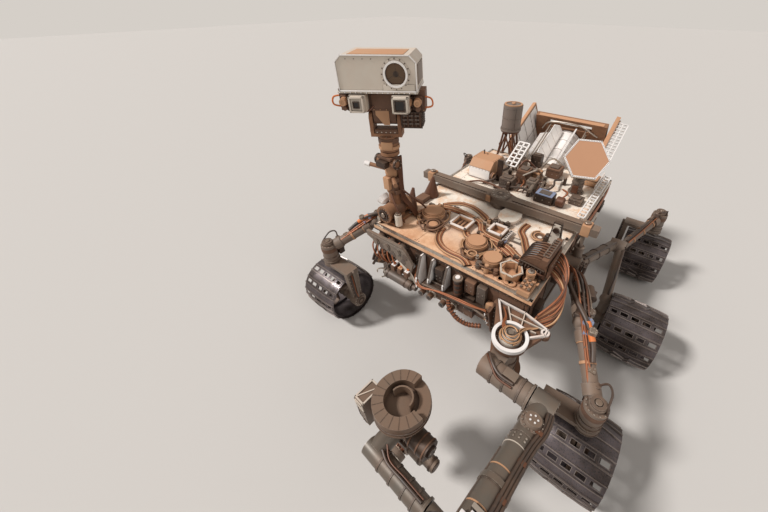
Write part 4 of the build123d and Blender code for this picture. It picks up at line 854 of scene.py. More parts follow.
HARNESS = [(700, -446), (520, -424), (448, -240), (478, -40), (508, 36), (611, 78), (619, 302), (690, 396), (690, 441)]
route = [(x, y, 16) for x, y in HARNESS]
cable(
    "deck_harness_wires", "rover", strands(route, [(-20, -7), (4, -6), (16, 3), (-6, 7)]), 6, "copper", DECK,
    ("deck_harness",),
)
cable("deck_harness_dark", "rover", strands(route, [(-8, -7), (22, -8)]), 5.5, "bronze", DECK)
cable("deck_harness_braid", "rover", strands(route, [(10, -9), (-14, 4), (5, 9), (30, -9)]), 5.5, "braid", DECK)
loops = [
    [(x, y, 8) for x, y in ((700, -180), (800, -160), (875, -80), (900, 20), (885, 130), (930, 180))],
    [(645, -15, 10), (700, 20, 12), (640, 60, 12), (600, 170, 12), (660, 240, 12), (700, 345, 10)],
    [(x, y, 8) for x, y in ((450, -360), (360, -300), (330, -180), (370, -50), (420, 30))],
    [(x, y, 8) for x, y in ((300, 300), (400, 280), (460, 340), (560, 400), (620, 440))],
]
for kind, offsets, radius, key in (
    ("", [(0, 0), (18, -1)], 5.5, "copper"), ("_dark", [(-11, 0)], 5, "bronze"),
    ("_braid", [(9, 1), (-20, 0)], 5.5, "braid"),
):
    cable(f"deck_loops{kind}", "rover", [line for loop in loops for line in strands(loop, offsets)], radius, key, DECK)
coils = []
COIL_STEP = math.degrees(0.6)
for spot, r, turns in ((OUTER, 118, 2), (MIDDLE, 98, 2), (INNER, 94, 1), (COIL_RING, 60, 1)):
    for i in range(turns):
        coils.append([(*around(*spot, r + 12 * i, 200 + 70 * i + COIL_STEP * k), 10 + 6 * (k % 2)) for k in range(8)])
cable("deck_coils", "rover", coils, 5.5, "braid", DECK)
ties = Form("harness_ties", DECK)
for x, y in HARNESS[1:-1]:
    ties.block((x, y, 14), (30, 46, 30), "dark", bevel=6)
    ties.bolt((x, y, 29), Z(1), 5)
ties.finish("rover")
# Bundle that leaves the cable duct and dives to the shoulder
bundle = {"copper": [], "bronze": [], "braid": []}
for i in range(14):
    stray = [random.uniform(-7, 7) for _ in range(10)]
    out = 7.5 * i
    bundle[("copper", "bronze", "copper", "braid")[i % 4]].append([
        (585 + 10 * i, 596, 100 - 5 * i),
        (600 + 11 * i + stray[0], 650 + out * 0.5 + stray[1], 120 - 7 * i + stray[2]),
        (680 + 10 * i + stray[3], 722 + out * 0.4 + stray[4], 62 - 9 * i + stray[5]),
        (790 + 9 * i + stray[6], 735 + out * 0.35 + stray[7], -8 - 11 * i + stray[8]),
        (885 + 7 * i, 705 + stray[9], -50 - 10 * i),
        (950 + 5 * i, 668 - 3 * i, -85 - 9 * i),
    ])
for key, routes in bundle.items():
    cable(f"shoulder_{key}_cables", "rover", routes, 6.2, key, DECK)
side_wires = [
    [(x, y, z - 14 * i) for x, y, z in (
        (240 - 60 * i, 618, -12), (50 - 50 * i, 634, -20), (-300, 636, -30), (-620, 632, -30), (-780, 620, -50),
    )]
    for i in range(4)
]
cable("side_wires", "rover", side_wires, 5.5, "copper", DECK)

# Differential bar: pivot, bolts and end clamps
bar = Form("bar_trim")
top = in_mm(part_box("differential_bar"))[1].z
BAR_TOP = top - 18
bar.bolts((190, 0, top), Z(1), 60, 12, 5)
bar.ring((190, 0, top), Z(3), 26, 32, "mid_grey")
bar.rod((190, 0, top), Z(6), 14, "steel", 20)
for hand in (1, -1):
    for y in (160, 300, 440, 580):
        bar.bolt_row((158, hand * y, BAR_TOP), (168, hand * (y + 80), BAR_TOP), Z(1), 3, 4)
    bar.box(150, 230, hand * 640, hand * 700, BAR_TOP - 74, BAR_TOP + 12, "tan", bevel=8)
    bar.rod((190, hand * 666, BAR_TOP + 12), Z(14), 22, "steel", 20)
    bar.block((190, hand * 746, BAR_TOP - 30), (58, 12, 44), "brown")
    bar.box(146, 152, hand * 120, hand * 620, BAR_TOP - 50, BAR_TOP - 8, "dark", bevel=2)
bar.rod((115, -100, BAR_TOP - 30), X(25), 20, "dark", 16)
bar.block((245, -75, BAR_TOP - 26), (20, 40, 50), "tan")
bar.finish("rover")

# Stow bracket and cable duct
stow = Form("stow_trim", DECK)
stow.plate([(509, 30), (581, 30), (566, 225), (524, 225)], 3, "pale", facing_x(493))
for low, high in ((515, 527), (575, 563)):
    stow.bolt_row((496, low, 40), (496, high, 215), X(1), 5, 4, "dark")
stow.ring((494, 545, 183), X(14), 10, 19, "dark", 24)
for x in (425, 535):
    for y in (512, 578):
        stow.bolt((x, y, 14), Z(1), 6)
stow.block((415, 490, 30), (60, 50, 60), "dark")
stow.rod((415, 490, 60), Z(12), 22, "black", 20)
stow.finish("rover")

duct = Form("duct_trim", DECK)
for i in range(8):
    x = 602 + 22 * i
    duct.box(x, x + 4, 438, 600, 2, 30, "black", bevel=1)
    duct.tube([(x, 442, 50), (x, 446, 90), (x, 475, 125), (x, 530, 142)], 4, "black", 6)
duct.ladder(178, 32, 6, 7, 6, "mid_grey", move(592, 590, 180))
duct.block((680, 623, 80), (180, 12, 100), "brown")
duct.bolt_row((610, 630, 120), (750, 630, 120), Y(1), 6, 4)
# Curved ribs in front of the duct
for i in range(8):
    y = 452 + 19 * i
    duct.tube([(775, y, 85 - 4 * i), (792, y, 75), (812 - 2 * i, y, 6)], 4.5, "black", 6)
duct.tube([(778, 446, 90), (776, 520, 85), (774, 600, 75)], 6, "dark", 8)
duct.tube([(815, 446, 6), (806, 500, 8), (798, 600, 6)], 6, "dark", 8)
duct.finish("rover")
duct_wires = [[
    (770, 470 + 20 * i, 30), (800, 500 + 20 * i, 70), (800, 560 + 12 * i, 60), (775, 605, 20 + 8 * i),
] for i in range(4)]
cable("duct_cables", "rover", duct_wires, 6, "bronze", DECK)

# Mast: cables, clamps and motor ends
mast = Form("mast_trim", DECK)
MX, MY = MAST
DRUM_Z = 96
mast.bolts((927, MY, DRUM_Z), X(1), 52, 14, 5, "steel")
mast.ring((926, MY, DRUM_Z), X(8), 30, 42, "black", 28)
mast.rod((926, MY, DRUM_Z), X(14), 20, "steel", 20)
mast.ring((700, MY, DRUM_Z), X(12), 58, 66, "tan")
mast.ring((760, MY, DRUM_Z), X(80), 58, 61, "brown")
for x in (720, 880):
    for y in (-597, -483):
        mast.bolt((x, y, 24), Z(1), 7)
for up in (240, 330, 470):
    mast.bolts((*MAST, up + 24), Z(1), 46, 8, 4, "tan")
    mast.block((MX + 20, MY + 50, up + 12), (36, 30, 30), "brown")
mast.turned([(0, 42.5), (0.2, 48), (0.8, 48), (1, 42.5)], (*MAST, 360), Z(90), "tan", 28)
mast.turned([(0, 42.5), (0.15, 52), (0.85, 52), (1, 42.5)], (*MAST, 255), Z(55), "brown", 28)
mast.at = ROVER
for hand in (-1, 1):
    y = MY + hand * 85
    mast.ring((829, y - 6, 1570), Y(12), 24, 36, "dark", 24)
    mast.bolts((829, y + hand * 6, 1570), Y(hand), 29, 6, 4)
mast.box(792, 866, -600, -480, 1592, 1612, "brown")
mast.box(860, 900, -580, -500, 1550, 1590, "dark")
mast.block((845, MY, 1420), (50, 50, 90), "tan")
mast.rod((855, -690, 1519), (13, -37, 8), 18, "clean", 20)
mast.at = DECK
mast.rod((800, -595, 100), (0, -37, 10), 14, "dark", 16)
mast.turned(
    [(0, 12), (0.35, 40), (1, 50), (1, 46), (0.45, 36), (0.25, 10)], (800, -625, 105), (0, -50, 30), "clean", 32,
)
# Boxes and the white cap at the mast's foot, cones behind it
mast.block((845, -615, 45), (80, 50, 90), "clean", bevel=6)
mast.rod((880, -445, 20), Z(90), 26, "pale", 24)
mast.rod((880, -445, 110), Z(15), 20, "steel", 20)
mast.turned([(0, 55), (0.15, 52), (0.8, 18), (1, 10)], (655, -535, 0), (-55, -5, 170), "bronze", 24)
mast.turned([(0, 65), (0.1, 62), (0.9, 14), (1, 8)], (385, -540, 0), (-20, 10, 170), "bronze", 20)
mast.block((490, -545, 20), (100, 80, 40), "brown")
mast.block((905, -600, 30), (50, 30, 50), "silver")
mast.finish("rover")
down = []
for i in range(4):
    down.append([(MX + 10 * i + x, MY + y, z) for x, y, z in (
        (-44, 50, 1600), (-34, 58, 1500), (-34, 54, 1360), (-44, 62, 1270), (-89, 95, 1200), (-114, 110, DECK_Z + 20),
    )])
for loose in (
    ((-20, 50, 1360), (-50, 130, 1300), (-140, 160, 1200), (-200, 130, DECK_Z + 20)),
    ((50, 20, 1340), (90, 90, 1270), (60, 120, 1170), (30, 100, DECK_Z + 20)),
):
    down.append([(MX + x, MY + y, z) for x, y, z in loose])
cable("mast_cables", "rover", down, 7.5, "bronze")
pan = Form("pan_trim", HEAD)
pan.bolts((0, 0, 1742), Z(1), 55, 10, 4)
pan.ring((0, 0, 1660), Z(20), 62, 68, "tan")
pan.ring((0, 0, 1700), Z(30), 62, 66, "brown")
pan.block((58, 0, 1690), (30, 70, 50), "tan")
pan.box(-43, 43, -72, 72, 1756, 1786, "brown")
pan.bolt_row((43, -55, 1771), (43, 55, 1771), X(1), 5, 4)
for hand in (1, -1):
    pan.bolts((0, hand * 97, 1850), Y(hand), 36, 8, 4)
    pan.plate(
        [(-40, 1770), (40, 1770), (6, 1835), (-6, 1835)], 4, "tan", facing_y(hand * 97.5 + (4 if hand > 0 else 0)),
    )
pan.finish("mast_pan")

# Head: laser box trim, window with its mirror, square-faced cameras and lens pairs
WINDOW = (104, 2109)            # y and z of the laser's window
head = Form("laser_trim", HEAD)
head.box(-178, 120, -228, 219, 2012, 2020, "pale", bevel=2)
head.bolt_row((121, -215, 2016), (121, 205, 2016), X(1), 15, 3.5, "clean")
head.bars(rect(-170, 117.5, -212.5, 212.5), 10, 2020, 2028, "clean")
head.bars(
    [(-215, 2022), (215, 2022), (215, 2165), (181, 2197), (-181, 2197), (-215, 2165)], 6, 0, 4, "clean", facing_x(115),
)
head.box(115, 119, 30, 204, 2026, 2060, "pale", bevel=2)
head.ring((113, *WINDOW), X(12), 55.5, 66, "clean", 48)
head.ring((113, *WINDOW), X(4), 66, 78, "pale", 48)
head.bolts((117, *WINDOW), X(1), 74.5, 16, 3.2, "dark")
head.turned([(0, 58), (0.5, 52), (0.85, 28), (1, 0)], (110, *WINDOW), X(-48), "mirror", 40)
head.rod((70, *WINDOW), X(42), 16, "dark", 24)
for i in range(3):
    a = math.radians(90 + 120 * i)
    head.rod((106, *WINDOW), (0, 56 * math.cos(a), 56 * math.sin(a)), 4.5, "dark", 8)
head.bolt_row((116.5, -200, 2180), (116.5, -20, 2180), X(1), 5, 2.5, "mid_grey")
head.block((-176, 0, 2110), (6, 340, 130), "grey")
for z in (2160, 2060):
    head.bolt_row((-180, -150, z), (-180, 150, z), X(-1), 7, 4)
for hand in (1, -1):
    head.block((-30, hand * 216.5, 2100), (200, 4, 100), "grey")
    head.bolt_row((-120, hand * 218, 2150), (60, hand * 218, 2150), Y(hand), 5, 4)
head.block((0, 0, 2199), (200, 300, 4), "tan", bevel=1)
head.finish("mast_head")

eyes = Form("mast_cameras_look", HEAD)
for y, face, opening, depth in ((-122.5, 44, 16, 160), (122.5, 47, 26, 168)):
    eyes.box(48, depth - 30, y - face, y + face, 1915, 2005, "pale", bevel=3)
    eyes.bars(rect(y - face + 8, y + face - 8, 1923, 1997), 10, 0, 30, "pale", facing_x(depth - 30))
    eyes.box(depth - 30, depth - 6, y - face + 14, y + face - 14, 1929, 1991, "pale", bevel=1)
    eyes.box(depth - 6, depth - 3, y - opening, y + opening, 1960 - opening, 1960 + opening, "glass", bevel=1)
    eyes.bars(rect(y - opening, y + opening, 1960 - opening, 1960 + opening), 4, 0, 10, "dark", facing_x(depth - 8))
for hand in (1, -1):
    for y in (hand * 212, hand * 160):
        eyes.box(48, 80, y - 24, y + 24, 1935, 1988, "brown", bevel=4)
        eyes.turned([(0, 23), (0.6, 22), (0.62, 19), (1, 20)], (80, y, 1962), X(38), "tan", 24)
        eyes.ring((116, y, 1962), X(4), 10, 19.5, "tan", 24)
        eyes.rod((100, y, 1962), X(17), 11, "glass", 20)
        eyes.rod((60, y, 1925), X(40), 14, "brown", 16)
        eyes.bolts((81, y, 1962), X(1), 28, 4, 3, "dark", first=0.78)
eyes.finish("mast_head", ["mast_cameras"])

neck = Form("neck_trim", HEAD)
neck.plate([(-52, 1905), (-52, 1875), (-5, 1815), (30, 1815), (30, 1905)], 4, "tan", facing_x(40))
neck.bolt_row((48.5, -240, 1908), (48.5, 240, 1908), X(1), 14, 4, "tan")
neck.box(44, 56, -62, 62, 1915, 1995, "brown")
for z in (1835, 1858, 1881):
    for i in range(3):
        neck.block((69, 128 + 36 * i, z), (6, 24, 8), "mid_grey", bevel=1)
neck.bars(rect(109, 229, 1811, 1899), 6, 0, 6, "dark", facing_x(64))
for i in range(6):
    neck.box(-52, 52, 229, 235, 1815 + 14 * i, 1821 + 14 * i, "dark", bevel=1)
neck.box(-52, -46, -240, 240, 1910, 2010, "brown", bevel=3)
neck.bolt_row((-52, -220, 1960), (-52, 220, 1960), X(-1), 10, 4)
for hand in (-1, 1):
    neck.tube(
        [(40, hand * 236, 1985), (50, hand * 285, 1975), (50, hand * 290, 1935), (40, hand * 238, 1920)], 5, "orange",
    )
neck.tube([(50, -50, 1930), (75, -90, 1905), (60, -190, 1902), (50, -225, 1925)], 6, "bronze")
neck.tube([(50, 50, 1920), (75, 80, 1900), (65, 100, 1880)], 6, "bronze")
neck.finish("mast_head")

# Front panel: bracket bosses, struts, white and tan plates, rack and cylinder
panel = Form("front_trim")
for y in (-545, -440, -335):
    panel.turned([(0, 28), (0.1, 31), (0.8, 31), (1, 26)], (952, y, 1022), X(52), "mid_grey", 28)
    panel.ring((1026, y, 1022), X(6), 22, 30, "grey", 28)
    panel.bolts((1026, y, 1022), X(1), 36, 6, 3)
for y, z, r in ((-490, 998, 26), (-390, 975, 26), (-290, 955, 22), (-270, 1000, 22)):
    panel.rod((1026, y, z), X(4), r, "mid_grey", 28)
panel.plate([(-325, 942), (-222, 888), (-150, 800), (-215, 785), (-300, 860)], 6, "pale", facing_x(1026))
panel.plate([(-600, 1052), (-250, 1045), (-280, 1062), (-600, 1068)], 4, "grey", facing_x(1026))
panel.bolt_row((1027, -615, 1045), (1027, -345, 945), X(1), 9, 3.5)
# Struts under the mast's corner
for a, b, r, key in [
    ((945, -580, 1030), (1030, -620, 800), 10, "dark"), ((945, -500, 1030), (1050, -600, 780), 10, "dark"),
    ((945, -420, 1000), (1020, -600, 820), 8, "mid_grey"), ((945, -590, 900), (1040, -440, 800), 9, "dark"),
    ((945, -340, 960), (1030, -450, 840), 8, "mid_grey"), ((945, -550, 740), (1030, -600, 800), 12, "grey"),
]:
    panel.rod(a, Vector(b) - Vector(a), r, key, 12)
for y, z, key in ((-600, 800, "tan"), (-530, 860, "brown"), (-500, 780, "mid_grey")):
    panel.block((985, y, z), (60, 50, 50), key)
    panel.bolts((1016, y, z), X(1), 14, 4, 4)
# Fin plates: lit faces and edges
for y, reach, height in ((-150, 118, 250), (-60, 100, 210), (60, 96, 190)):
    tip = BODY_FRONT + reach - 4
    rim = [
        (945, 1056), (BODY_FRONT + reach * 0.45, 1056), (tip, 1060 - height * 0.7), (tip, 1064 - height),
        (945, 1064 - height),
    ]
    panel.bars(rim, 7, 0, 14, "mid_grey", facing_y(y + 7))
panel.plate([(950, 1040), (985, 1040), (1035, 880), (1035, 820), (950, 820)], 3, "clean", facing_y(-155.2))
panel.plate([(950, 1040), (978, 1040), (1018, 910), (1018, 860), (950, 860)], 3, "brown", facing_y(-65.2))
# Bars of the rack
for i, y in enumerate((-369, -307, -245)):
    panel.box(944, 1055, y - 16.5, y + 16.5, 892, 899, "tan" if i % 2 else "clean", bevel=2)
    panel.bolt_row((955, y, 899), (1045, y, 899), Z(1), 5, 3.5, "orange" if i == 0 else "silver")
    panel.block((1030, y, 903), (12, 20, 12), "orange")
# Cylinder: bands, clip and hook
for y in (-430, -260, -215):
    panel.ring((1045, y, 776), Y(10), 36, 39, "dark")
panel.box(1020, 1070, -468, -452, 735, 817, "silver", bevel=6)
panel.tube([(1045, -460, 742), (1075, -475, 735), (1095, -470, 755)], 5, "silver")
panel.tube([(1045, -470, 805), (1090, -500, 815), (1100, -500, 790)], 5, "silver")
# Dark upright can with a white top, and boxes below the deck's edge
panel.rod((*UPRIGHT, 870), Z(175), 26, "black", 28)
panel.ring((*UPRIGHT, 1040), Z(10), 14, 32, "grey", 28)
panel.rod((*UPRIGHT, 1045), Z(15), 16, "clean", 20)
for z in (920, 960, 1000):
    panel.ring((*UPRIGHT, z), Z(8), 25, 29, "bronze")
panel.block((970, 160, 950), (50, 50, 120), "dark")
for y, z, a, b, c, key in [
    (235, 990, 50, 70, 100, "brown"), (315, 960, 40, 60, 140, "mid_grey"), (-5, 930, 50, 60, 160, "dark"),
    (235, 840, 50, 80, 120, "dark"), (70, 820, 40, 100, 70, "brown"), (-200, 980, 30, 50, 100, "dark"),
    (380, 840, 40, 50, 160, "tan"), (-540, 950, 30, 100, 80, "brown"),
]:
    panel.block((BODY_FRONT + a / 2, y, z), (a, b, c), key, bevel=6)
    panel.bolts((BODY_FRONT + a, y, z), X(1), min(b, c) * 0.34, 4, 4, first=DIAGONAL)
# Lever bracket with a slot, from the middle of the front to the arm's mount
lever = [(955, -100), (1062, -100), (1058, 60), (1030, 300), (1045, 405), (985, 405), (965, 200)]
panel.plate(lever, 10, "dark", move(0, 0, 866))
panel.bars([(1005, -70), (1048, -70), (1044, 50), (998, 50)], 10, 876, 892, "mid_grey")
panel.bars([(1060, -90), (1032, 300), (1046, 400)], 6, 876, 890, "grey", closed=False)
panel.finish("rover")
hang = []
for i in range(5):
    y = -580 + 50 * i
    hang.append([(950, y, 1030), (1020, y - 30, 990), (1050, y + 20, 900), (1000, y + 50, 820), (950, y + 30, 760)])
hang.append([
    (950, -200, 930), (1040, -160, 880), (1075, -100, 860), (1060, 0, 885), (1040, 140, 885), (1040, 300, 900),
    (1060, 400, 970),
])
hang.append([
    (950, -230, 900), (1050, -180, 850), (1080, -90, 855), (1055, 20, 890), (1030, 160, 890), (1030, 310, 905),
    (1070, 410, 975),
])
cable("front_wires", "rover", hang, 5.5, "copper")
hose = Form("front_hose")
hose_line = [(1020, 100, 855), (1055, 130, 800), (1065, 200, 745), (1050, 280, 725), (1020, 360, 740)]
hose.tube(hose_line, 14, "bronze", 14)
for a, b in zip(hose_line, hose_line[1:]):
    for i in range(4):
        spot = Vector(a).lerp(Vector(b), (i + 0.5) / 4)
        run = (Vector(b) - Vector(a)).normalized() * 3
        hose.ring(spot - run, run * 2, 10, 17.5, "copper", 14)
hose.finish("rover")
hazard = Form("hazard_lenses")
low, high = in_mm(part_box("camera_bar"))
hz, tip = low.z + 40, high.x - SHIFT_X
for y in (-125, -55, 55, 125):
    hazard.ring((tip - 4, y, hz), X(6), 14, 23, "mid_grey", 28)
    hazard.turned([(0, 14), (0.6, 13), (1, 0)], (tip - 3, y, hz), X(7), "glass", 24)
    hazard.block((995, y, hz), (20, 54, 54), "pale")
for z in (hz + 28, hz - 28):
    hazard.bolt_row((986, -250, z), (986, 250, z), X(1), 12, 4)
hazard.finish("rover")

# Arm's mount: rim wall, cap with wires, pocketed tail, web
mount = Form("mount_trim")
MT = 974                       # the upper ear's face
mount.ring((*MOUNT, MT), Z(24), 80, 99, "clean", 56)
mount.turned([(0, 60), (0.3, 58), (0.7, 44), (0.95, 20), (1, 12)], (*MOUNT, MT), Z(50), "pale", 40)
mount.bolts((*MOUNT, MT), Z(1), 70, 16, 4)
mount.rod((*MOUNT, MT + 50), Z(12), 16, "steel", 20)
mount.bars([(955, 430), (955, 600), (990, 745), (1032, 745), (1100, 680)], 10, MT - 4, MT + 18, "white", closed=False)
mount.bars([(1085, 515), (955, 430)], 10, MT - 4, MT + 18, "white", closed=False)
for a, b in (
    ((970, 500), (1070, 570)), ((962, 600), (1060, 620)), ((1000, 720), (1010, 530)), ((1045, 700), (1055, 550)),
):
    mount.bars([a, b], 7, MT - 3, MT + 14, "pale", closed=False)
mount.ring((1010, 742, MT), Z(12), 13, 24, "white", 28)
for outline in (
    [(985, 500), (1060, 545), (1050, 600), (975, 580)], [(1000, 620), (1050, 625), (1040, 690), (1010, 700)],
):
    mount.plate(outline, 3, "brown", move(0, 0, MT))
for y in (420, 585):
    mount.bolt_row((983, y, 930), (983, y, 740), X(1), 6, 5)
mount.plate([(985, 935), (1050, 935), (985, 700)], 4, "brown", facing_y(408.5))
for i in range(4):
    z = 900 - 48 * i
    mount.box(984, 1045 - 16 * i, 384, 392, z - 6, z + 14, "clean", bevel=2)
mount.block((1115, 575, MT + 12), (30, 30, 24), "tan")
mount.finish("rover")
crown = []
for i, (r, h, start) in enumerate(((56, 34, 150), (46, 50, 200), (34, 62, 120), (60, 26, 40))):
    loop = [(*around(*MOUNT, r, start + 38 * k), MT + h + 3 * (k % 2)) for k in range(9)]
    crown.append(loop + [(1075 - 10 * i, 625 + 12 * i, MT + 26), (1040, 660 + 6 * i, MT + 14), (1010, 700, MT + 16)])
cable("mount_wires", "rover", crown, 4, "braid")
mount_dark = [[
    (1130 + 12 * i, 565, MT + 52), (1115 + 10 * i, 540, MT + 45), (1080, 535 - 6 * i, MT + 26), (1030, 520, MT + 16),
    (990, 480, MT + 12),
] for i in range(3)]
cable("mount_wires_dark", "rover", mount_dark, 4.5, "copper")

# Arm: turntable, upper arm and forearm
table = Form("turntable_trim", ARM)
for z in (735, 800):
    table.ring((0, 0, z), Z(12), 57, 64, "mid_grey", 36)
table.bolts((170, -52.5, 900), Y(-1), 50, 12, 5)
table.ring((170, -60.5, 900), Y(8), 24, 36, "steel")
for y in (20, 90, 170):
    table.ring((170, y, 900), Y(10), 59, 65, "mid_grey", 40)
table.bolts((170, 218, 900), Y(-1), 63.5, 14, 4)
table.tube(
    [(60, -48, 870), (110, -55, 900), (130, -40, 955), (170, 0, 966), (200, 60, 960), (200, 140, 960)], 8, "hose",
)
table.tube(
    [(60, -48, 850), (115, -58, 880), (140, -46, 950), (180, 0, 963), (215, 60, 950), (215, 140, 950)], 6, "bronze",
)
table.block((170, 110, 968), (50, 70, 16), "steel")
table.finish("arm_turntable")

upper = Form("upper_arm_trim", UPPER)
for hand in (1, -1):
    upper.bolts((0, hand * 56, 0), Y(hand), 54, 12, 5)
    upper.ring((0, hand * 54, 0), Y(hand * 6), 24, 42, "mid_grey")
    upper.bolts((920, hand * 56, 0), Y(hand), 46, 10, 5)
# Round bolted cover on top, near the root
upper.turned([(0, 52), (0.3, 50), (0.35, 40), (1, 36)], (155, 0, 46), Z(28), "grey", 40)
upper.bolts((155, 0, 56), Z(1), 45, 12, 4)
upper.bolts((155, 0, 74), Z(1), 18, 5, 5, "clean")
for x in (245, 262):
    for i in range(14):
        a = 2 * math.pi * i / 14
        upper.bolt((x, 56 * math.cos(a), 56 * math.sin(a)), (0, math.cos(a), math.sin(a)), 5)
upper.ring((286, 0, 0), X(4), 55.5, 58.5, "pale", 48)
upper.ring((225, 0, 0), X(4), 55.5, 58.5, "mid_grey", 48)
for x in (400, 560, 720):
    upper.ring((x, 0, 0), X(6), 55.5, 57.5, "tan", 48)
upper.box(320, 780, -58, -50, -22, 22, "mid_grey", bevel=3)
upper.box(330, 600, 44, 58, -20, 26, "blue", bevel=6)
# White clip with a cross plate
upper.box(600, 660, -18, 18, 52, 72, "clean")
upper.box(618, 636, -45, 45, 52, 68, "clean")
upper.block((585, 0, 60), (18, 50, 22), "silver")
upper.bolts((630, 0, 72), Z(1), 18, 4, 4, "dark")
for x in (860, 840):
    upper.bolt_row((x, -30, 55), (x, 30, 55), Z(1), 4, 5)
for x in (180, 340, 500, 700, 800):
    upper.block((x, 40, 46), (22, 34, 26), "bronze")
upper.finish("upper_arm")
arm_run = [
    (60, 48, 50), (140, 62, 46), (240, 46, 50), (400, 42, 54),
    (550, 44, 52), (700, 40, 55), (820, 36, 52), (870, 30, 50),
]
cable("upper_arm_hoses", "upper_arm", strands(arm_run, [(0, 0), (12, -4), (-12, 3)]), 7.5, "hose", UPPER)
cable(
    "upper_arm_wire", "upper_arm",
    strands([(660, -10, 62), (720, 0, 66), (800, -12, 64), (870, -20, 56)], [(0, 0), (9, 0)]), 5, "orange", UPPER,
)

fore = Form("forearm_trim", FORE)
fore.bolts((0, -198, 0), Y(-1), 46, 10, 5)
fore.ring((0, -204, 0), Y(6), 18, 34, "mid_grey")
for x in (200, 340, 440):
    fore.ring((x, -150, 0), X(6), 42.5, 45.5, "tan", 40)
    fore.block((x + 3, -150, 46), (22, 30, 18), "bronze")
fore.box(120, 460, -158, -142, -48, -40, "mid_grey", bevel=3)
fore.bolts((590, -198, 0), Y(-1), 36, 8, 4)
fore.finish("forearm")
cable(
    "forearm_hoses", "forearm",
    strands([(60, -150, 52), (140, -150, 56), (280, -150, 52), (420, -150, 54), (520, -150, 50)], [(8, 0), (-8, 0)]),
    6.5, "hose", FORE,
)

wrist = Form("wrist_trim", WRIST)
wrist.bolts((0, -448, 0), Y(-1), 38, 8, 4)
for y in (-340, -260, -180, -120):
    wrist.ring((0, y, 0), Y(10), 47, 52, "mid_grey", 40)
wrist.bolts((110, -400, 0), X(1), 47, 8, 4)
wrist.tube([(0, -80, -52), (0, -200, -56), (0, -300, -54), (20, -360, -58)], 7, "hose")
wrist.tube([(14, -80, -50), (14, -200, -54), (14, -300, -52), (50, -360, -56)], 4.5, "bronze")
wrist.finish("wrist")

# Turret: x rearwards, y port, z down
tools = Form("turret_trim", TURRET)
tools.bolts((-48, 0, 0), X(-1), 72, 14, 5)
tools.ring((-52, 0, 0), X(4), 36, 60, "mid_grey")
# Drill: wound drum, bands, collars and front rods
for y, r, key in [
    (-145, 53, "silver"), (-118, 50, "steel"), (-100, 62, "mid_grey"), (-60, 58.5, "orange"), (-40, 58.5, "orange"),
    (-12, 64, "steel"), (20, 64.5, "bronze"), (44, 62.5, "orange"), (70, 62.5, "steel"), (150, 54, "dark"),
    (212, 40, "dark"),
]:
    tools.ring((0, y, 160), Y(10), r - 12, r, key, 44)
for i in range(12):
    a = math.radians(30 * i)
    c, d = math.cos(a), math.sin(a)
    if d > -0.6:
        tools.rod((63 * c, -78, 160 + 63 * d), (3 * c, 144, 3 * d), 4.5, ("steel", "orange", "dark")[i % 3], 8)
        tools.block((0, 0, 58), (18, 26, 12), ("silver", "tan")[i % 2], move(0, -122, 160) @ turn("Y", 30 * i))
tools.rod((0, 236, 160), Y(8), 30, "dark", 32)
for x in (-31, 31):
    tools.rod((x, -222, 185), Y(57), 9.5, "silver", 16)
# Ring: seams and lips
for i in range(14):
    tools.box(90, 144, -1.5, 1.5, -235.2, -233.5, "dark", move(24, 0, 0) @ turn("Z", 90 + 270 / 14 * (i + 0.5)), 0)
tools.ring((24, 0, -160), Z(10), 120, 150, "ring", 56)
tools.ring((24, 0, -186), Z(8), 140, 149, "mid_grey", 56)
# Braced window frame
tools.bars(rect(-244, -184, -88, -28), 10, 0, 6, "pale", facing_x(-106))
tools.rod((-103, -240, -84), (0, 52, 52), 5, "pale", 8)
tools.plate(rect(-240, -188, -84, -32), 4, "dark", facing_x(-92))
tools.bars([(-249, -16), (-179, -16), (-179, 128), (-205, 146), (-249, 100)], 4, 0, 4, "mid_grey", facing_x(-103))
tools.bolt_row((-104, -215, -18), (-104, -215, 120), X(-1), 5, 4)
tools.bars(rect(-94, 20, -246, -182), 9, -103, -95, "pale")
tools.bars([(-88, -240), (14, -188)], 7, -102, -95, "pale", closed=False)
tools.plate(rect(-90, 16, -242, -186), 2, "ring", move(0, 0, -97.5))
for x in (-82, 8):
    tools.bolt_row((x, -249, -20), (x, -249, 90), Y(-1), 5, 4)
tools.box(-85, 11, -256, -250, 0, 85, "mid_grey", bevel=3)
# Light bracket between the ring and the drill
tools.plate([(-75, -128), (70, -128), (-60, -60)], 6, "pale", facing_x(-62))
tools.bolts((-62, -45, -112), X(-1), 10, 3, 4)
tools.block((-55, -60, 30), (18, 50, 60), "brown")
tools.block((-55, 60, 70), (18, 60, 50), "mid_grey")
# Side instrument: bands
for y in (100, 150, 190):
    tools.ring((0, y, 0), Y(8), 55, 59.5, "brown", 40)
tools.bolts((0, 220.5, 0), Y(1), 26, 6, 4)
# Slotted wheel of the brush
tools.ring((-112, 20, 236), X(8), 12, 46, "clean", 48)
for i in range(12):
    tools.block((0, 0, 0), (3, 22, 6), "dark", move(-113.5, *around(20, 236, 31, 30 * i)) @ turn("X", 30 * i), 1)
tools.rod((-116, 20, 236), X(8), 10, "dark", 20)
tools.ring((-106, 20, 236), X(8), 46, 50, "silver", 48)
tools.finish("turret")
reel = []
for i in range(5):
    y = -70 + 30 * i
    reel.append([(-50, y, 60), (-62, y + 10, 100), (-66, y - 8, 150), (-58, y + 12, 190), (-20, y, 226)])
cable("turret_wires", "turret", reel, 4, "copper", TURRET)

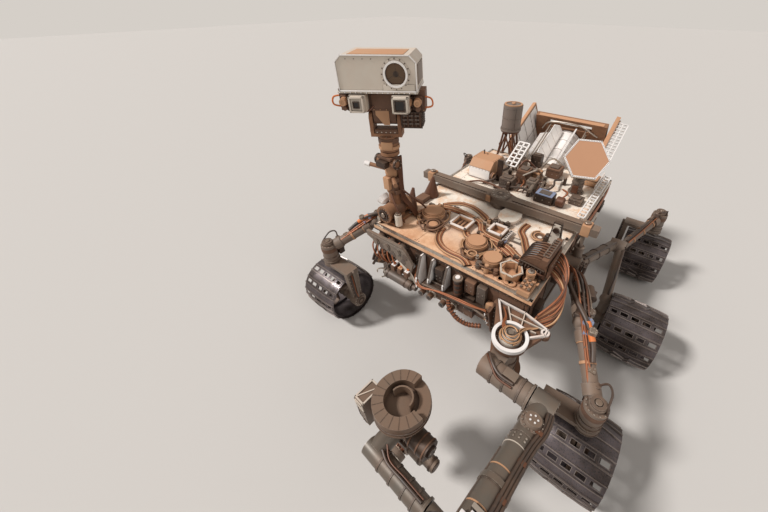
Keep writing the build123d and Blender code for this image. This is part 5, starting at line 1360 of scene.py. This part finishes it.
# Rear: power source seams, shields' edges, cradle panels and pipes
power = Form("power_trim", POWER)
for i in range(8):
    spin = turn("X", (i + 0.5) * 45)
    power.bars([(-500, 136), (-500, 292), (-100, 292), (-100, 136)], 4, -5.2, 5.2, "clean", spin @ facing_y(0))
    for x in (-180, -290, -400):
        power.box(x - 2, x + 2, -5.4, 5.4, 135, 294, "pale", spin, 1)
for x in (-60, -200, -340, -480, -600):
    power.ring((x, 0, 0), X(-12), 126, 136, "clean", 48)
for hand in (1, -1):
    for i in range(3):
        power.rod((-100, hand * 190, 200 - 60 * i), X(-500), 7, "silver", 12)
power.bolts((-672, 0, 0), X(-1), 80, 10, 6)
power.rod((-672, 0, 0), X(-12), 45, "dark", 28)
power.finish("rover")

shields = Form("shield_trim", POWER)
for hand in (1, -1):
    lean = move(0, hand * 372, 0) @ turn("X", -hand * 9)
    edge_y = hand * 13
    shields.box(-722, -148, edge_y - 19, edge_y + 19, 322, 336, "tan", lean, 4)
    shields.box(-726, -716, edge_y - 18, edge_y + 18, -140, 334, "tan", lean, 3)
    inner_y = -hand * 3
    for x in (-700, -558, -416, -274):
        for low, high in ((-125, 85), (92, 308)):
            shields.box(x, x + 135, inner_y - 3, inner_y + 3, low, high, "clean", lean, 2)
        shields.bolt_row(
            (x + 12, inner_y - hand * 3, -100), (x + 12, inner_y - hand * 3, 290), Y(-hand), 7, 4, "silver", lean,
        )
    outer_y = hand * 27.5
    for x in (-700, -460, -220):
        shields.box(x, x + 210, outer_y - 2.5, outer_y + 2.5, -120, 170, "brown", lean, 3)
    shields.tube(
        [(-100, hand * 29, 50), (-300, hand * 34, 200), (-500, hand * 34, 220), (-700, hand * 29, 100)], 7, "silver",
        at=lean,
    )
    # Perforated frame outside the shield's top
    if hand > 0:
        shields.ladder(500, 90, 8, 12, 8, "clean", lean @ move(-660, 78, 318), 2)
        shields.bars(rect(-700, -600, 220, 310), 10, 0, 12, "tan", lean @ facing_y(44))
shields.finish("rover")

cradle = Form("cradle_trim", POWER)
for y in (-300, 300):
    cradle.block((-664, y, 60), (10, 90, 300), "brown")
    cradle.bolt_row((-670, y, -60), (-670, y, 180), X(-1), 5, 5)
cradle.box(-668, -658, -220, 220, -125, -20, "brown", bevel=3)
cradle.bars(rect(-228, 228, 155, 233), 8, 0, 6, "tan", facing_x(-666))
cradle.box(-660, -622, -340, 340, 262, 268, "tan", bevel=3)
cradle.tube([(-620, -300, 100), (-600, -200, 220), (-600, 100, 240), (-620, 300, 120)], 8, "silver")
cradle.finish("rover")

back = Form("rear_wall")
for y in (-460, 460):
    back.block((-786, y, 900), (12, 200, 260), "brown")
    for z in (1010, 790):
        back.bolt_row((-792, y - 80, z), (-792, y + 80, z), X(-1), 5, 5)
    back.tube([(-790, y, 980), (-830, y * 0.98, 940), (-830, y * 0.96, 820), (-790, y * 0.95, 760)], 9, "silver")
back.box(-790, -780, -200, 200, 705, 760, "dark")
back.bolt_row((-790, -180, 733), (-790, 180, 733), X(-1), 8, 5)
back.finish("rover")

racks = Form("side_racks", DECK)
racks.ladder(780, 50, 9, 15, 10, "clean", move(-740, 588, 45))
racks.ladder(300, 60, 9, 6, 8, "white", move(-740, 556, 50) @ turn("X", 90))
for x in (-720, -480, -240, 20):
    racks.rod((x, 588, 0), Z(48), 8, "pale", 12)
    racks.bolt((x, 588, 55), Z(1), 6)
racks.finish("rover")

# Rod antenna and its truss
can = Form("can_trim", DECK)
cx, cy = CAN
cz = 285
for z in (30, 118, 206):
    can.ring((*CAN, cz + z), Z(4), 91, 93.5, "mid_grey", 56)
for i in range(4):
    can.box(90.5, 93.5, -4, 4, cz + 20, cz + 215, "mid_grey", move(*CAN, 0) @ turn("Z", 45 + 90 * i), 1)
can.bolts((*CAN, cz + 16), Z(1), 96, 16, 4)
can.turned([(0, 20), (0.5, 20), (1, 14)], (*CAN, cz + 241), Z(15), "tan", 20)
can.ring((*CAN, cz + 235), Z(10), 70, 86, "tan", 48)
# Perforated brackets that climb to the truss
can.ladder(260, 120, 14, 4, 10, "white", move(-620, -400, 30) @ turn("Y", -14), 2)
can.ladder(300, 105, 14, 6, 10, "clean", move(-660, -205, 205) @ turn("Y", 27), 2)
for y in (-257.5, -152.5):
    for x, z in ((-640, 190), (-460, 100)):
        can.rod((x, y, 0), Z(z), 7, "pale", 12)
for y in (-460, -340):
    can.plate([(-620, 0), (-360, 0), (-360, 90), (-620, 35)], 5, "white", facing_y(y + 2.5))
for sx, sy in ((1, 1), (1, -1), (-1, 1), (-1, -1)):
    foot = (cx + sx * 56, cy + sy * 92, 0)
    can.turned([(0, 24), (0.5, 22), (1, 14)], foot, (0, 0, 20), "mid_grey", 20)
    can.block((cx + sx * 51, cy + sy * 68, 140), (24, 24, 20), "bronze")
can.tube(
    [(cx + 30, cy, cz - 10), (cx + 20, cy + 20, cz - 100), (cx - 10, cy + 30, cz - 200), (cx + 20, cy + 100, 10)], 6,
    "copper",
)
can.finish("rover")

# Dish: perforated rim, back ribs; yoke and post
plate = Form("dish_trim", FACE)
R = 150 / math.cos(math.radians(30))


def dish_outline(share):
    return [around(0, 0, R * share, 60 * i) for i in range(6)]


face_x = 70 + 34
small = dish_outline(0.955)
plate.bars(small, 12, 0, 4.5, "clean", facing_x(face_x))
for (y0, z0), (y1, z1) in zip(small, small[1:] + small[:1]):
    for i in range(14):
        share = (i + 0.5) / 14
        plate.rod((face_x + 4.4, y0 + (y1 - y0) * share, z0 + (z1 - z0) * share), X(0.8), 2.8, "dark", 8)
plate.plate(dish_outline(0.93), 2, "dish", facing_x(face_x), 1)
plate.bars(dish_outline(0.985), 5, -34, -4, "pale", facing_x(face_x))
for i in range(6):
    plate.box(59.5, 70, -5, 5, 30, 135, "white", turn("X", 60 * i), 2)
plate.bolts((54, 0, 0), X(-1), 85, 12, 4)
plate.ring((50, 0, 0), X(6), 45, 70, "mid_grey", 40)
plate.finish("dish")
yoke = Form("yoke_trim", DISH)
for hand in (1, -1):
    yoke.bolts((0, hand * 62, 272), Y(hand), 24, 8, 3)
    yoke.ring((0, hand * 62, 272), Y(hand * 6), 12, 18, "dark", 20)
for z in (140, 152, 164, 176):
    yoke.ring((0, 0, z), Z(6), 51, 56, "grey", 40)
yoke.box(-70, -50, -40, 40, 135, 185, "grey")
yoke.finish("dish_yoke")
stand = Form("dish_post_trim", DECK)
stand.bolts((*DISH_POST, 12), Z(1), 55, 8, 5)
for z in (30, 60, 90):
    stand.ring((*DISH_POST, z), Z(8), 45, 50, "mid_grey", 36)
stand.block((-345, 420, 50), (30, 50, 60), "bronze")
stand.finish("rover")

# Avionics box: white front and starboard side, tan port side as painted shade, dusty faceted top, seams, hook
crate = Form("avionics_trim", DECK)
crate.box(-119, -116, -486, -274, 6, 100, "clean", bevel=2)
# Painted shade: the port side plate is tan, darker than the white starboard side.
for y, key in ((-268.5, "tan"), (-489, "clean")):
    crate.plate([(-376, 6), (-124, 6), (-124, 100), (-182, 158), (-348, 158), (-376, 130)], 3, key, facing_y(y))
crate.bolt_row((-116, -478, 96), (-116, -282, 96), X(1), 7, 3.5)
for y in (-480, -280):
    crate.bolt_row((-345, y, 165), (-185, y, 165), Z(1), 6, 3.5, "mid_grey")
crate.tube([(-300, -440, 165), (-300, -440, 200), (-270, -430, 205)], 5, "dark")
crate.rod((-135, -262, 50), Y(22), 42, "brown", 32)
crate.ring((-135, -244, 50), Y(8), 24, 38, "tan", 32)
crate.finish("rover")

# Running gear: bolts, cables and actuator details on rockers, bogies and knuckles
PIVOT_X, PIVOT_Z = 230, 840
for side, s in (("port", 1), ("starboard", -1)):
    mirrored = ROVER @ Matrix.Diagonal((1, s, 1, 1))
    gear = Form(f"rocker_{side}_trim", mirrored)
    gear.bolts((PIVOT_X, 722, PIVOT_Z), Y(1), 50, 12, 6)
    gear.bolts((PIVOT_X, 710, PIVOT_Z), Y(1), 76, 16, 5)
    gear.rod((PIVOT_X, 722, PIVOT_Z), Y(10), 26, "dark", 28)
    for end in (1, -1):
        spot = (end * STEER, STEER)
        gear.ring((*spot, 650), Z(10), 61, 66, "mid_grey", 40)
        gear.ring((*spot, 710), Z(35), 61, 65, "brown", 40)
        gear.bolts((*spot, 770), Z(1), 54, 12, 5)
        gear.ring((*spot, 796), Z(7), 22, 40, "mid_grey", 32)
        gear.rod((*spot, 796), Z(12), 18, "steel", 20)
        gear.block((end * (STEER - 78), STEER - 30, 700), (50, 70, 100), "dark", bevel=8)
        gear.rod((end * (STEER - 85), STEER - 30, 750), Z(60), 20, "mid_grey", 20)
        gear.tube([
            (end * (STEER - 85), STEER - 30, 800), (end * (STEER - 100), STEER + 10, 840),
            (end * (STEER - 60), STEER + 40, 840), (end * STEER, STEER + 45, 800),
            (end * STEER + 20, STEER + 55, 770),
        ], 6, "black")
    # Front bend: drums and boxes, then clamps along the runs
    for x, y, r, key in ((770, 910, 30, "blue"), (690, 900, 28, "mid_grey"), (820, 950, 24, "steel")):
        gear.rod((x, y, 925), Z(40), r, key, 24)
        gear.bolts((x, y, 965), Z(1), r * 0.7, 6, 4)
    gear.block((700, 860, 925), (100, 70, 50), "mid_grey", bevel=8)
    gear.block((800, 930, 900), (70, 50, 50), "blue", bevel=8)
    for share in (0.25, 0.5, 0.75):
        for a, b, half, inner, outer, key in (
            ((PIVOT_X, 666, PIVOT_Z), (*FRONT_BEND, 890), 10, 41, 47, "mid_grey"),
            ((*FRONT_BEND, 890), (STEER, STEER, 724), 8, 41, 46, "tan"),
            ((PIVOT_X, 666, PIVOT_Z), (-520, 843, 640), 10, 41, 47, "mid_grey"),
            ((-520, 905, 640), (-STEER, STEER, 724), 8, 37, 42, "tan"),
        ):
            a, b = Vector(a), Vector(b)
            run = (b - a).normalized() * half
            gear.ring(a.lerp(b, share) - run, run * 2, inner, outer, key, 32)
    # Silver double cylinder and dark cluster inboard of the front run
    gear.rod((500, 770, 955), (100, 42, 7), 32, "silver", 28)
    gear.rod((480, 835, 935), (100, 42, 7), 32, "dark", 28)
    gear.block((540, 825, 920), (120, 130, 30), "mid_grey", bevel=6)
    for i in range(6):
        gear.rod((300 + 22 * (i % 3), 735 + 24 * (i // 3), 900), Z(75), 10, "black", 12)
    gear.tube(
        [(420, 700, 930), (550, 720, 975), (680, 800, 990), (780, 900, 965), (860, 975, 900), (930, 1010, 850)], 16,
        "hose", 14,
    )
    gear.tube([(780, 905, 963), (815, 938, 938), (850, 968, 910)], 18.5, "orange", 14)
    gear.tube(
        [(300, 660, 900), (450, 740, 925), (600, 800, 935), (740, 860, 950), (900, 955, 865), (1030, 1030, 790)], 7,
        "copper",
    )
    gear.tube([(160, 720, 890), (-100, 780, 815), (-300, 830, 760), (-460, 860, 710)], 9, "hose")
    gear.tube([(-560, 930, 700), (-750, 990, 735), (-920, 1040, 765), (-1030, 1070, 775)], 8, "hose")
    gear.tube([(-560, 950, 690), (-750, 1010, 722), (-920, 1060, 752), (-1030, 1090, 765)], 5, "copper")
    # Loose loops and small boxes over the front run
    for dy, dz, r, key in ((0, 75, 8, "black"), (30, 60, 7, "bronze"), (-30, 85, 6, "copper"), (50, 45, 6, "steel")):
        gear.tube([
            (340, 705 + dy, 885 + dz * 0.5), (440, 745 + dy, 905 + dz), (560, 800 + dy, 925 + dz),
            (680, 850 + dy, 900 + dz * 1.2), (800, 920 + dy * 0.6, 860 + dz * 0.9),
            (920, 990 + dy * 0.4, 800 + dz * 0.7), (1000, 1040, 775 + dz * 0.2),
        ], r, key)
    for x, y, z, a, b, c, key in (
        (630, 835, 945, 50, 50, 50, "dark"), (860, 965, 862, 60, 50, 45, "mid_grey"),
        (420, 745, 905, 50, 50, 50, "brown"), (960, 1020, 812, 40, 40, 40, "steel"),
    ):
        gear.block((x, y, z), (a, b, c), key, bevel=6)
        gear.bolts((x, y, z + c / 2), Z(1), a * 0.34, 4, 4, first=DIAGONAL)
    # Bogie pivot and its elbow
    gear.bolts((-520, 936, 640), Y(1), 50, 12, 6)
    gear.rod((-520, 936, 640), Y(12), 28, "dark", 28)
    gear.tube([(-460, 940, 660), (-280, 955, 575), (-120, 965, 490), (-40, 965, 380), (-15, 955, 310)], 8, "hose")
    gear.bolts((0, 906.5, 250), Y(-1), 34, 8, 5)
    gear.finish("rover")
    for axle, x in (("front", STEER), ("rear", -STEER)):
        leg = Form(f"knuckle_{axle}_{side}_trim", mirrored @ move(x, STEER, 0))
        leg.bolts((0, 0, 600), Z(1), 56, 10, 5)
        leg.ring((0, 0, 566), Z(8), 69, 74, "mid_grey", 40)
        leg.bolt_row((-45, -216.5, 540), (-34, -216.5, 340), Y(1), 6, 4)
        for hand in (1, -1):
            leg.bolt_row((hand * 45, -258.5, 540), (hand * 34, -258.5, 340), Y(-1), 6, 5)
        leg.bolts((0, -282, 250), Y(-1), 50, 12, 5)
        leg.ring((0, -298, 250), Y(4), 20, 34, "dark", 28)
        leg.tube([(30, -262, 560), (30, -272, 460), (26, -272, 360), (20, -285, 300)], 6, "hose")
        leg.tube([(16, -262, 560), (17, -270, 460), (16, -270, 360), (12, -285, 310)], 5, "copper")
        for y in (-160, -110, -60, -20):
            leg.ring((0, y, 250), Y(8), 49, 54, "mid_grey", 36)
        leg.finish(f"knuckle_{axle}_{side}")

# Body sides and belly
hull = Form("body_panels")
for side, s in (("port", 1), ("starboard", -1)):
    face = s * BODY_HALF
    for x0, x1, key in (
        (-720, -400, "brown"), (-360, -20, "mid_grey"), (20, 130, "brown"), (340, 620, "mid_grey"), (660, 900, "brown"),
    ):
        hull.box(x0, x1, face, face + s * 6, 740, 1020, key, bevel=3)
        for z in (760, 1000):
            hull.bolt_row((x0 + 20, face + s * 6, z), (x1 - 20, face + s * 6, z), Y(s), max(2, int((x1 - x0) / 60)), 4)
    hull.box(-760, 920, face, face + s * 12, 688, 716, "grey", bevel=4)
    near, far = face + s * 14, face + s * 18
    for z in (900, 840):
        hull.tube([(-700, near, z), (-450, far, z - 20), (-200, far, z), (100, near, z - 20)], 9, "silver")
    for x, z, a, c in ((-550, 960, 120, 70), (480, 950, 140, 90), (780, 860, 100, 120)):
        hull.box(x - a / 2, x + a / 2, face, face + s * 45, z - c / 2, z + c / 2, "dark", bevel=6)
        hull.bolt_row((x - a * 0.4, face + s * 45, z), (x + a * 0.4, face + s * 45, z), Y(s), 3, 5)
for x0, x1, y0, y1 in (
    (-680, -240, -540, -20), (-680, -240, 20, 540), (-180, 360, -540, 540), (420, 840, -540, -20), (420, 840, 20, 540),
):
    hull.box(x0, x1, y0, y1, BODY_LOW - 5, BODY_LOW + 2, "brown", bevel=2)
    for y in (y0 + 20, y1 - 20):
        hull.bolt_row((x0 + 20, y, BODY_LOW - 5), (x1 - 20, y, BODY_LOW - 5), Z(-1), 7, 5)
    for x in (x0 + 20, x1 - 20):
        hull.bolt_row((x, y0 + 80, BODY_LOW - 5), (x, y1 - 80, BODY_LOW - 5), Z(-1), 5, 5)
hull.box(-40, 220, -140, 140, BODY_LOW - 22, BODY_LOW, "mid_grey", bevel=8)
hull.bolts((90, 0, BODY_LOW - 22), Z(-1), 90, 12, 6)
for y in (-300, 300):
    pipe = [(-600, y, -10), (-200, y * 0.9, -14), (300, y * 0.9, -14), (800, y, -10)]
    hull.tube(pipe, 8, "hose", at=move(0, 0, BODY_LOW))
# Plates along the front's upper edge
hull.box(940, 946, 420, 580, 980, 1045, "brown", bevel=3)
hull.box(940, 945, -590, 590, 1030, 1056, "mid_grey", bevel=3)
hull.bolt_row((945, -570, 1043), (945, 570, 1043), X(1), 24, 4)
hull.finish("rover")

# Finished materials and eased edges for the solids that keep their shape

NODE_LOOK = {
    "deck": "deck", "chassis": "brown", "laser_box": "pale", "radio_can": "can", "radio_truss": "bronze",
    "power_source": "clean", "power_shields": "tan", "power_cradle": "mast", "avionics_box": "tan",
    "dish": "white", "dish_yoke": "grey", "dish_post": "grey", "mast": "mast", "mast_pan": "mast", "mast_head": "brown",
    "differential_bar": "grey", "cable_duct": "brown", "oval_cover": "deck", "deck_bins": "tan", "knob_post": "tan",
    "stow_bracket": "dark", "front_plates": "clean", "front_cylinder": "mid_grey", "bar_rack": "brown",
    "knob_bracket": "grey", "camera_bar": "brown", "arm_mount": "brown", "arm_turntable": "grey",
    "upper_arm": "arm", "forearm": "arm", "wrist": "arm", "turret_hub": "brown", "drill": "grey",
    "sample_ring": "ring", "spectrometer": "dark", "turret_camera": "grey", "brush": "grey",
}
SLOT_LOOK = {
    "grey_paint": "grey", "white_paint": "white", "dark_metal": "dark", "dusty_panel": "tan", "wheel_skin": "wheel",
    "cable_wrap": "copper",
}
for row in frame["record"]["subparts"]:
    node = row["node"]
    item = frame["nodes"][node]
    item.data.materials.clear()
    item.data.materials.append(PAINT[NODE_LOOK.get(node) or SLOT_LOOK[row["material_slot"]]])
    if not node.startswith("wheel_"):
        item.data.shade_smooth()
        item.data.set_sharp_from_angle(angle=math.radians(32))
        ease = item.modifiers.new("ease", "BEVEL")
        ease.width = 0.0025
        ease.segments = 2
        ease.limit_method = "ANGLE"
        ease.angle_limit = math.radians(50)
        ease.harden_normals = True

# Camera, floor and light

FRAME_W = 768
FOCAL_PX = 310
SENSOR = 36.0
CAM_AT = (2150, 900, 2440)
CAM_YAW = 216.5
CAM_PITCH = -37.4
CAM_SHIFT = (60, 23)           # pixels that the view is moved right and up

camera_data = bpy.data.cameras.new("camera")
camera_data.sensor_width = SENSOR
camera_data.lens = FOCAL_PX * SENSOR / FRAME_W
camera_data.shift_x = -CAM_SHIFT[0] / FRAME_W
camera_data.shift_y = -CAM_SHIFT[1] / FRAME_W
camera = bpy.data.objects.new("camera", camera_data)
bpy.context.scene.collection.objects.link(camera)
yaw, pitch = math.radians(CAM_YAW), math.radians(CAM_PITCH)
looking = Vector((math.cos(yaw) * math.cos(pitch), math.sin(yaw) * math.cos(pitch), math.sin(pitch)))
camera.location = ROVER @ Vector(CAM_AT) * MM
camera.rotation_euler = looking.to_track_quat("-Z", "Y").to_euler()
bpy.context.scene.camera = camera

floor_data = bpy.data.meshes.new("floor")
floor_data.from_pydata([(-40, -40, 0), (40, -40, 0), (40, 40, 0), (-40, 40, 0)], [], [(0, 1, 2, 3)])
floor = bpy.data.objects.new("floor", floor_data)
bpy.context.scene.collection.objects.link(floor)
floor_shade = bpy.data.materials.new("floor")
floor_shade.use_nodes = True
floor_shade.node_tree.nodes["Principled BSDF"].inputs["Base Color"].default_value = linear(206, 200, 194)
floor_shade.node_tree.nodes["Principled BSDF"].inputs["Roughness"].default_value = 0.9
floor_data.materials.append(floor_shade)

world = bpy.data.worlds.new("world")
bpy.context.scene.world = world
world.use_nodes = True
sky = world.node_tree
ground = sky.nodes["Background"]
ground.inputs["Color"].default_value = linear(236, 232, 228)
ground.inputs["Strength"].default_value = 0.27
backdrop = sky.nodes.new("ShaderNodeBackground")
backdrop.inputs["Color"].default_value = linear(213, 207, 200)
backdrop.inputs["Strength"].default_value = 1.0
chosen = sky.nodes.new("ShaderNodeMixShader")
rays = sky.nodes.new("ShaderNodeLightPath")
seen = rays.outputs["Is Camera Ray"]
for kind in ("Is Glossy Ray", "Is Transmission Ray"):
    either = sky.nodes.new("ShaderNodeMath")
    either.operation = "MAXIMUM"
    sky.links.new(seen, either.inputs[0])
    sky.links.new(rays.outputs[kind], either.inputs[1])
    seen = either.outputs[0]
sky.links.new(seen, chosen.inputs[0])
sky.links.new(ground.outputs[0], chosen.inputs[1])
sky.links.new(backdrop.outputs[0], chosen.inputs[2])
sky.links.new(chosen.outputs[0], sky.nodes["World Output"].inputs["Surface"])


def lamp(name, towards, power, spread):
    data = bpy.data.lights.new(name, "SUN")
    data.energy = power
    data.angle = math.radians(spread)
    item = bpy.data.objects.new(name, data)
    bpy.context.scene.collection.objects.link(item)
    item.rotation_euler = Vector(towards).to_track_quat("-Z", "Y").to_euler()


lamp("key", (-4.0, 4.4, -6.5), 3.0, 9)
lamp("fill", (-1.0, -4.0, -3.6), 0.7, 45)

bpy.context.scene.view_settings.view_transform = "Standard"
